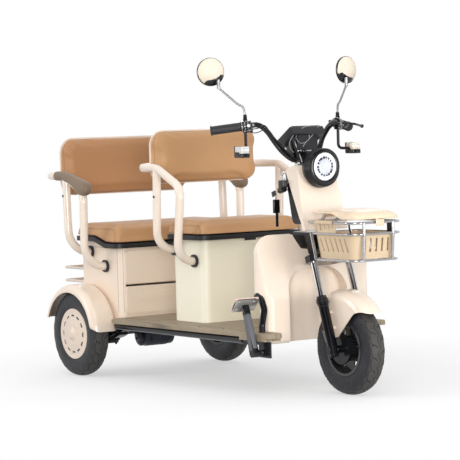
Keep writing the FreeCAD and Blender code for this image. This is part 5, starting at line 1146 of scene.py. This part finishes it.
# Basket lid
def make_lid():
    """The domed lid with its clasp and hinge, and the dark stay and bracket near the basket's front."""
    rear = 1336.0
    front = ORIGIN_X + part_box("basket_lid")[1][0] / MM - 9.0
    half, corner, points = 117.0, 46.0, 96
    middle, reach = (rear + front) / 2, (front - rear) / 2
    shape = []
    for k in range(points):
        dx, dy = math.cos(FULL_TURN * k / points), math.sin(FULL_TURN * k / points)
        low, high = 0.0, 400.0
        for _ in range(28):
            t = (low + high) / 2
            d = rounded_rectangle_distance(np.array(dx * t), np.array(dy * t), reach, half, corner)
            low, high = (t, high) if d < 0 else (low, t)
        shape.append((dx * low, dy * low))

    def rim(x):
        """The height of the lid's edge, which drops towards the front."""
        share = min(1.0, max(0.0, ((x - rear) / (front - rear) - 0.46) / 0.28))
        return 727.0 - 22.0 * share * share * (3 - 2 * share)

    form = Form()

    def ring(scale, drop, inset):
        verts = []
        rise = (1 - (1 - min((1 - scale) * half / 62.0, 1.0)) ** 2.3) ** (1 / 2.3)
        for dx, dy in shape:
            size = math.hypot(dx, dy)
            f = scale * (size - inset) / size
            x, y = middle + dx * f, dy * f
            top = 743.5 - 7.0 * (dx * f / reach) ** 2 - 4.0 * (y / half) ** 2
            base = rim(x) + 4.0
            verts.append(form.bm.verts.new(at(x, y, base + (top - base) * rise - drop)))
        return verts

    inner = (0.96, 0.92, 0.87, 0.8, 0.7, 0.58, 0.45, 0.3, 0.15, 0.04)
    rings = [ring(scale, 0.0, 0.0) for scale in (inner[::-1] + (0.985, 1.0))]
    rings += [ring(1.0, drop, inset) for drop, inset in ((3.2, 0.0), (4.0, 0.9), (4.0, 3.6), (3.0, 4.6))]
    form.skin(rings + [ring(scale, 4.2, 4.6) for scale in ((1.0,) + inner)])
    form.piece("lid_shell", "lid", "basket_lid", "lid_cream", 50, ["basket_lid"])

    form = Form()
    form.block(at(front + 1.5, 0, 705.5), (15, 40, 5), 1.6)
    form.block(at(front + 7.0, 0, 694.0), (4, 40, 30), 1.7, segments=3)
    form.block(at(front + 8.8, 0, 684.0), (2.4, 24, 5), 1.0)
    form.tube([at(1338, -34, 714), at(1338, 34, 714)], 6.3, 20)
    form.block(at(1345, 0, 723), (10, 66, 16), 2.0)
    form.piece("lid_clasp", "lid", "basket_lid", "lid_cream", 45)

    form = Form()
    stay = [at(1590, -108, 694), at(1592, -109, 676), at(1600, -110, 655), at(1606, -111, 646)]
    form.tube(smooth_path(stay), 3.6, 10)
    form.block(at(1588, 96, 668), (30, 8, 36), 2.5)
    form.piece("basket_stay", "black_trim", "steering", "trim_black", 45)


# Indicators
def make_indicator_lenses():
    """Ribbed lenses in black bases."""
    rows, wide = 15, 35.5
    for side, tag in SIDES:
        centre = ahead(-315, side * 281, 975)
        form = Form()
        for k in range(rows):
            y = ((k + 0.5) / rows - 0.5) * wide
            form.block(centre + Vector((18.5, y, 8)) * MM, (17, wide / rows * 0.92, 27), 0.7, segments=1)
        form.block(centre + Vector((16.5, 0, 8)) * MM, (20, 37.2, 29), 3, segments=3)
        form.block(centre + Vector((-4, 0, 10.5)) * MM, (53.5, 37.4, 23.5), 4, segments=3)
        look = "lens_silver" if side < 0 else "lens_amber"
        form.piece("indicator_lens_" + tag, look, "steering", "lens_clear", 40)
        form = Form()
        form.block(centre + Vector((2, 0, -14.5)) * MM, (54, 38.5, 16.5), 3, segments=3)
        form.block(centre + Vector((-23.5, 0, 1)) * MM, (8.5, 39, 45), 3, segments=3)
        form.piece("indicator_base_" + tag, "gloss_black", "steering", "trim_black", 40)


# Parts at the head
DASH_WIRES = (
    ((1187, 14, 1072), (1191, -20, 1066), (1193, -52, 1052), (1193, -80, 1028), (1192, -92, 1006),
     (1186, -84, 984), (1176, -60, 966)),
    ((1188, 62, 1074), (1194, 40, 1052), (1196, 12, 1026), (1194, -12, 1006), (1190, -26, 984),
     (1184, -28, 962)),
    ((1190, -58, 1030), (1194, -44, 1052), (1194, -18, 1056), (1194, 4, 1040), (1193, 4, 1018),
     (1192, -18, 1004), (1192, -44, 1006), (1191, -58, 1026)))
BAR_CABLES = (
    ((1120, -262, 1072), (1136, -236, 1066), (1144, -206, 1070), (1140, -182, 1080), (1128, -158, 1072),
     (1124, -136, 1050), (1132, -104, 1010), (1150, -66, 966), (1172, -40, 948)),
    ((1116, -254, 1060), (1138, -226, 1050), (1146, -196, 1058), (1142, -176, 1070), (1136, -160, 1058),
     (1134, -140, 1040)),
    ((1124, 262, 1072), (1144, 232, 1060), (1150, 204, 1068), (1140, 176, 1078), (1132, 150, 1066),
     (1136, 118, 1026), (1152, 70, 972), (1172, 40, 950)))


def make_wires_and_clamps():
    for name, look, lines, radius in (("dash_wires", "wire_grey", DASH_WIRES, 1.3),
                                      ("bar_cables", "gloss_black", BAR_CABLES, 2.0)):
        form = Form()
        for points in lines:
            form.tube(smooth_path([at(*p) for p in points]), radius, 8)
        form.piece(name, look, "steering", "trim_black", 60)
    form = Form()
    for y in (-26, 26):
        form.block(at(1166, y, 934), (34, 26, 34), 4, segments=3)
        for dx in (-10, 10):
            form.bolt(at(1166 + dx, y, 950.5), Z_AXIS, 3.6, 3)
    form.block(at(1190, -6, 968), (8, 44, 14), 2)
    form.block(at(1192, -44, 972), (8, 18, 9), 2)
    form.piece("bar_clamps", "clamp_silver", "steering", "chrome", 40)


def make_lock():
    """The lock on the right of the shroud, with its key and fob, and the bag hook beside it."""
    out = Vector((-0.952, 0, -0.306))
    axes = (out, Y_AXIS, out.cross(Y_AXIS))
    face = ahead(-277.5, -108, 821.4)
    form = Form()
    form.lathe(((0, -6), (15, -6), (15, 6), (13.5, 9), (13.5, 24), (12, 26.5), (5, 26.5), (5, 25), (0, 25)),
               face, out, 36)
    form.block(ahead(-274, -86, 842), (34, 76, 30), 4, segments=3)
    form.piece("lock_body", "gloss_black", "steering", "trim_black", 40)

    end = face + out * 0.0265
    ring_top = end + out * 0.028
    form = Form()
    form.lathe(((0, -1), (9.5, -1), (9.5, 1.4), (8.2, 2.2), (0, 2.2)), end, out, 28)
    form.block(end + out * 0.015, (30, 2.2, 9), 0.6, axes)
    form.tube([ring_top + Vector((0, math.sin(a) * 4, math.cos(a) * 13 - 12)) * MM
               for a in np.linspace(0, FULL_TURN, 21)], 0.9, 8)
    form.piece("lock_key", "clamp_silver", "steering", "chrome", 40)

    low = ring_top - Z_AXIS * 0.024
    form = Form()
    form.block(end + out * 0.042, (26, 6.2, 22), 2.8, axes, 3)
    form.block(low + Vector((1, 0, -31)) * MM, (11, 31, 56), 5, segments=4)
    form.block(low + Vector((4, 0, -86)) * MM, (3, 13, 56), 1)
    form.tube([low + Z_AXIS * 0.004, low - Z_AXIS * 0.006], 2.2, 10)
    form.piece("key_fob", "gloss_black", "steering", "trim_black", 40)

    hook = [ahead(-262, -62, 880), ahead(-290, -78, 884), ahead(-306, -86, 880), ahead(-312, -88, 866),
            ahead(-303, -87, 857), ahead(-294, -86, 861)]
    form = Form()
    form.tube(smooth_path(hook, 0.003), 2.6, 12)
    form.piece("bag_hook", "clamp_silver", "steering", "chrome", 60)


def make_dash_face():
    """Rim and screen on the sloping top of the dash."""
    corner = [ahead(-254, -80, 1074), ahead(-254, 80, 1074), ahead(-354, 80, 1012), ahead(-354, -80, 1012)]
    u, v = (corner[3] - corner[0]).normalized(), Y_AXIS
    n = v.cross(u) if v.cross(u).z > 0 else u.cross(v)
    centre = sum(corner, Vector()) / 4
    form = Form()
    for along, across, size in ((0, 47, (104, 5, 4)), (0, -47, (104, 5, 4)), (0, 0, (4, 90, 4)),
                                (-50, 0, (6, 140, 4)), (50, 0, (6, 140, 4))):
        form.block(centre + (u * along + v * across + n * 1.2) * MM, size, 1.2, (u, v, n))
    form.piece("dash_rim", "gloss_black", "steering", "trim_black", 40)
    form = Form()
    form.block(centre - u * 0.022 + n * 0.0008, (34, 80, 3), 1, (u, v, n))
    form.piece("dash_screen", "screen", "steering", "lens_clear", 40)


def make_bar():
    """The handlebar as one smoothly bent tube, with the cowl that closes the head below the dash."""
    half = [(-429, 352, 1063), (-380, 277.5, 1072.5), (-345, 228, 1081), (-330, 198, 1083),
            (-322, 172, 1073), (-318, 145, 1048), (-314, 122, 1016), (-300, 96, 976), (-284, 66, 945),
            (-276, 38, 934), (-275, 0, 933)]
    points = [ahead(x, -y, z) for x, y, z in half] + [ahead(x, y, z) for x, y, z in half[-2::-1]]
    form = Form()
    form.tube(smooth_path(points, 0.008), 11, 20)
    form.piece("bar_tube", "gloss_black", "steering", "frame_black", 60, ["handlebar"])
    form = Form()
    levels = ((926, -318, -236, 44), (950, -326, -240, 50), (985, -338, -250, 58), (1015, -342, -256, 66),
              (1040, -318, -256, 70), (1058, -296, -257, 70))
    form.skin([form.ring(ahead((x0 + x1) / 2, 0, z), X_AXIS, Y_AXIS, (x1 - x0) / 2, half_y, 40, 0.45)
               for z, x0, x1, half_y in levels])
    form.piece("dash_cowl", "gloss_black", "steering", "trim_black", 50)


def make_controls():
    """Switch housings, buttons and clamp bands beside the grips."""
    for side, tag in SIDES:
        a = ahead(-429, side * 350, 1063)
        along = (ahead(-332, side * 205, 1082) - a).normalized()
        start = a + along * 0.118
        u = (Z_AXIS - along * Z_AXIS.dot(along)).normalized()
        w = along.cross(u)
        axes = (along, w, u)
        form = Form()
        for d in (0.008, 0.020, 0.033, 0.046):
            form.lathe(((16.5, -1.6), (20.6, -1.6), (21.4, -0.6), (21.4, 0.6), (20.6, 1.6), (16.5, 1.6)),
                       start + along * d, along, 28, close=True)
        form.block(start + along * 0.014 + u * 0.021, (16, 11, 5), 1.5, axes)
        form.block(start + along * 0.036 + w * 0.020, (14, 6, 12), 1.5, axes)
        button = start + along * 0.030 + u * 0.019
        form.lathe(((0, 0), (5.5, 0), (5.5, 4), (4.4, 5.2), (0, 5.2)), button, u, 20)
        form.piece("switch_bits_" + tag, "clamp_silver", "steering", "chrome", 40)
        form = Form()
        for k in range(16):
            form.lathe(((16.5, -1.5), (18.3, -1.2), (18.9, 0), (18.3, 1.2), (16.5, 1.5)),
                       a + along * (0.010 + k * 0.0066), along, 30, close=True)
        cap = ((0, -2.5), (12, -2.5), (18.5, -1.5), (20.4, 1), (20.4, 4), (17.5, 5.5), (0, 5.5))
        form.lathe(cap, a, along, 36)
        form.piece("grip_ribs_" + tag, "grip", "steering", "grip_rubber", 50)

        # Lever perch and reservoir under the bar
        form = Form()
        form.block(start + along * 0.030 - u * 0.018 - w * 0.004, (40, 22, 20), 4, axes, 3)
        form.block(start + along * 0.055 + w * 0.012, (20, 30, 22), 4, axes)
        form.piece("lever_perch_" + tag, "gloss_black", "steering", "trim_black", 40)


# Pedal
def make_pedal():
    """The brake pedal's plate, ribbed tread, boot and links."""
    tilt = math.radians(-55)
    x_axis = Vector((math.cos(tilt), 0, -math.sin(tilt)))
    z_axis = Vector((math.sin(tilt), 0, math.cos(tilt)))
    axes = (x_axis, Y_AXIS, z_axis)
    low, top = ahead(-138, -372, 184), ahead(-192, -372, 372)
    form = Form()
    form.block(top - z_axis * 0.0014, (58, 108, 3), 1.2, axes)
    for dx in (-0.018, 0.018):
        for dy in (-0.036, 0.036):
            form.bolt(top + x_axis * dx + Y_AXIS * dy - z_axis * 0.0028, -z_axis, 3.4, 2.6)
    form.piece("pedal_plate", "steel", "chassis", "pedal_metal", 40)
    form = Form()
    form.block(top + z_axis * 0.0056, (65, 115, 7), 3, axes, 3)
    for k in range(9):
        form.block(top + Y_AXIS * (-0.046 + k * 0.0115) + z_axis * 0.0094, (56, 5.2, 3), 1, axes)
    form.piece("pedal_tread", "pedal_pink", "chassis", "pedal_metal", 40)

    run = top - low
    across = run.normalized().cross(Y_AXIS).normalized()
    form = Form()
    form.skin([form.ring(low + run * share, across, Y_AXIS, wide, deep, 32, 0.7)
               for share, wide, deep in ((0.06, 9.0, 15.0), (0.10, 15.5, 15.0), (0.40, 17.0, 15.6),
                                         (0.70, 15.5, 14.8), (0.80, 14.0, 14.2), (0.82, 9.0, 11.0))])
    form.piece("pedal_sleeve", "grey_rubber", "chassis", "trim_black", 50)
    form = Form()
    for side, _ in SIDES:
        form.tube([low + run * 0.78 + Y_AXIS * (side * 0.009),
                   top - z_axis * 0.002 + Y_AXIS * (side * 0.016) - x_axis * 0.004], 3.6, 12)
    for k in range(6):
        place = low + Y_AXIS * (0.014 + k * 0.0062)
        form.lathe(((10, -3.2), (15.5 - k, -1), (15.5 - k, 1), (10, 3.2)), place, Y_AXIS, 24, close=True)
    form.piece("pedal_links", "gloss_black", "chassis", "trim_black", 50)


# Fork, wheels, motor and bolts
def make_fork_parts():
    """Collars below the fork's bright tubes, and the brake arm, return spring and nuts of the front wheel."""
    down = Vector((math.sin(RAKE), 0, -math.cos(RAKE)))
    lo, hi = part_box("stanchions")
    tube_radius = 14 * MM
    tip = Vector((hi[0] - tube_radius * math.cos(RAKE), 0, lo[2] + tube_radius * math.sin(RAKE)))
    form = Form()
    for side, _ in SIDES:
        start = tip + Y_AXIS * (side * 0.087)
        for shift, r0, r1, wide in ((-0.006, 14.2, 20.5, 7), (0.004, 20.0, 24.6, 5), (0.013, 20.0, 25.2, 10),
                                    (0.024, 20.0, 24.0, 4), (0.034, 20.0, 21.6, 5)):
            half = wide / 2
            profile = ((r0, -half), (r1, 1 - half), (r1, half - 1), (r0, half))
            form.lathe(profile, start + down * shift, down, 40, close=True)
    form.piece("fork_collars", "gloss_black", "steering", "frame_black", 40)

    arm = at(1418, -64, 176)
    form = Form()
    form.tube([arm, at(1372, -66, 214)], [6.5, 4.2], 12)
    form.tube([arm - Y_AXIS * 0.006, arm + Y_AXIS * 0.010], 9, 18)
    form.piece("brake_arm", "gloss_black", "steering", "trim_black", 50)

    foot = at(1374, -68, 210)
    run = at(1352, -68, 256) - foot
    u, v = axes_from(run)
    turns, steps = 13, 130
    spring = []
    for k in range(steps + 1):
        a = FULL_TURN * turns * k / steps
        spring.append(foot + run * (k / steps) + (u * math.cos(a) + v * math.sin(a)) * 0.0042)
    form = Form()
    form.tube(spring, 0.9, 6)
    for side, _ in SIDES:
        out = Y_AXIS * side
        form.bolt(ahead(0, side * 72, TYRE_RADIUS), out, 11, 8)
        for x, z in ((1386, 326), (1394, 276)):
            form.bolt(at(x, side * 57, z), out, 4, 2.4)
    form.piece("axle_nuts", "clamp_silver", "steering", "chrome", 40)


def make_bolts():
    """Bolts on the hoops' posts and on the deck."""
    form = Form()
    for half, x, z in ((FRONT_HOOP_HALF, 553, 790), (REAR_HOOP_HALF, -29, 790)):
        for side, _ in SIDES:
            form.bolt(at(x, side * (half + 17.2), z), Y_AXIS * side, 4.2, 2.2)
    form.piece("post_bolts", "black_trim", "chassis", "trim_black", 40)
    form = Form()
    for places, y, z, radius, height in (((1205, 1160), 268, 262.5, 4.5, 2.2),
                                         ((300, 470, 860, 1030), 330, 262.2, 4.0, 2.0)):
        for x in places:
            for side, _ in SIDES:
                form.bolt(at(x, side * y, z), Z_AXIS, radius, height)
    form.piece("deck_bolts", "clamp_silver", "chassis", "pedal_metal", 40)


def make_rim_slots():
    """Dark blocks in the slots around each rear wheel's cover, painting the shade seen through the slots."""
    for side, tag in SIDES:
        form = Form()
        for k in range(12):
            a = math.radians(30 * k)
            out = Vector((math.cos(a), 0, math.sin(a)))
            along = Vector((-math.sin(a), 0, math.cos(a)))
            slope = (Y_AXIS * side + out * 0.17).normalized()
            form.block(at(0, side * 418.6, TYRE_RADIUS) + out * 0.080, (7.2, 21.2, 2.4), 0.9,
                       (along.cross(slope), along, slope))
        form.piece("rim_slot_shade_" + tag, "gloss_black", "rear_wheel_" + tag, "rim_black", 40)


def make_motor_parts():
    """End cover, cooling ribs and cable box of the motor below the deck."""
    centre = at(100.1, -60, 165)
    form = Form()
    for start in (-52, -36, -20, -4, 12, 28, 44):
        form.lathe(((47.5, start), (50.4, start), (50.4, start + 5), (47.5, start + 5)), centre, Y_AXIS, 48,
                   close=True)
    cover = ((0, -82), (16, -82), (20, -78), (40, -78), (44, -75), (44, -74), (0, -74))
    form.lathe(cover, centre, Y_AXIS, 48)
    for k in range(6):
        a = math.radians(60 * k + 30)
        form.bolt(centre + Vector((math.cos(a) * 34, -78, math.sin(a) * 34)) * MM, -Y_AXIS, 4, 3)
    form.block(centre + Vector((44, -20, -8)) * MM, (20, 52, 34), 3, segments=3)
    form.piece("motor_cover", "motor", "chassis", "motor_blue", 40)


for make in (make_cushions, make_tyres, make_arm_pads, make_mirrors, make_lamp, make_lid, make_bar,
             make_indicator_lenses, make_wires_and_clamps, make_lock, make_dash_face, make_controls,
             make_pedal, make_fork_parts, make_bolts, make_motor_parts, make_rim_slots):
    make()
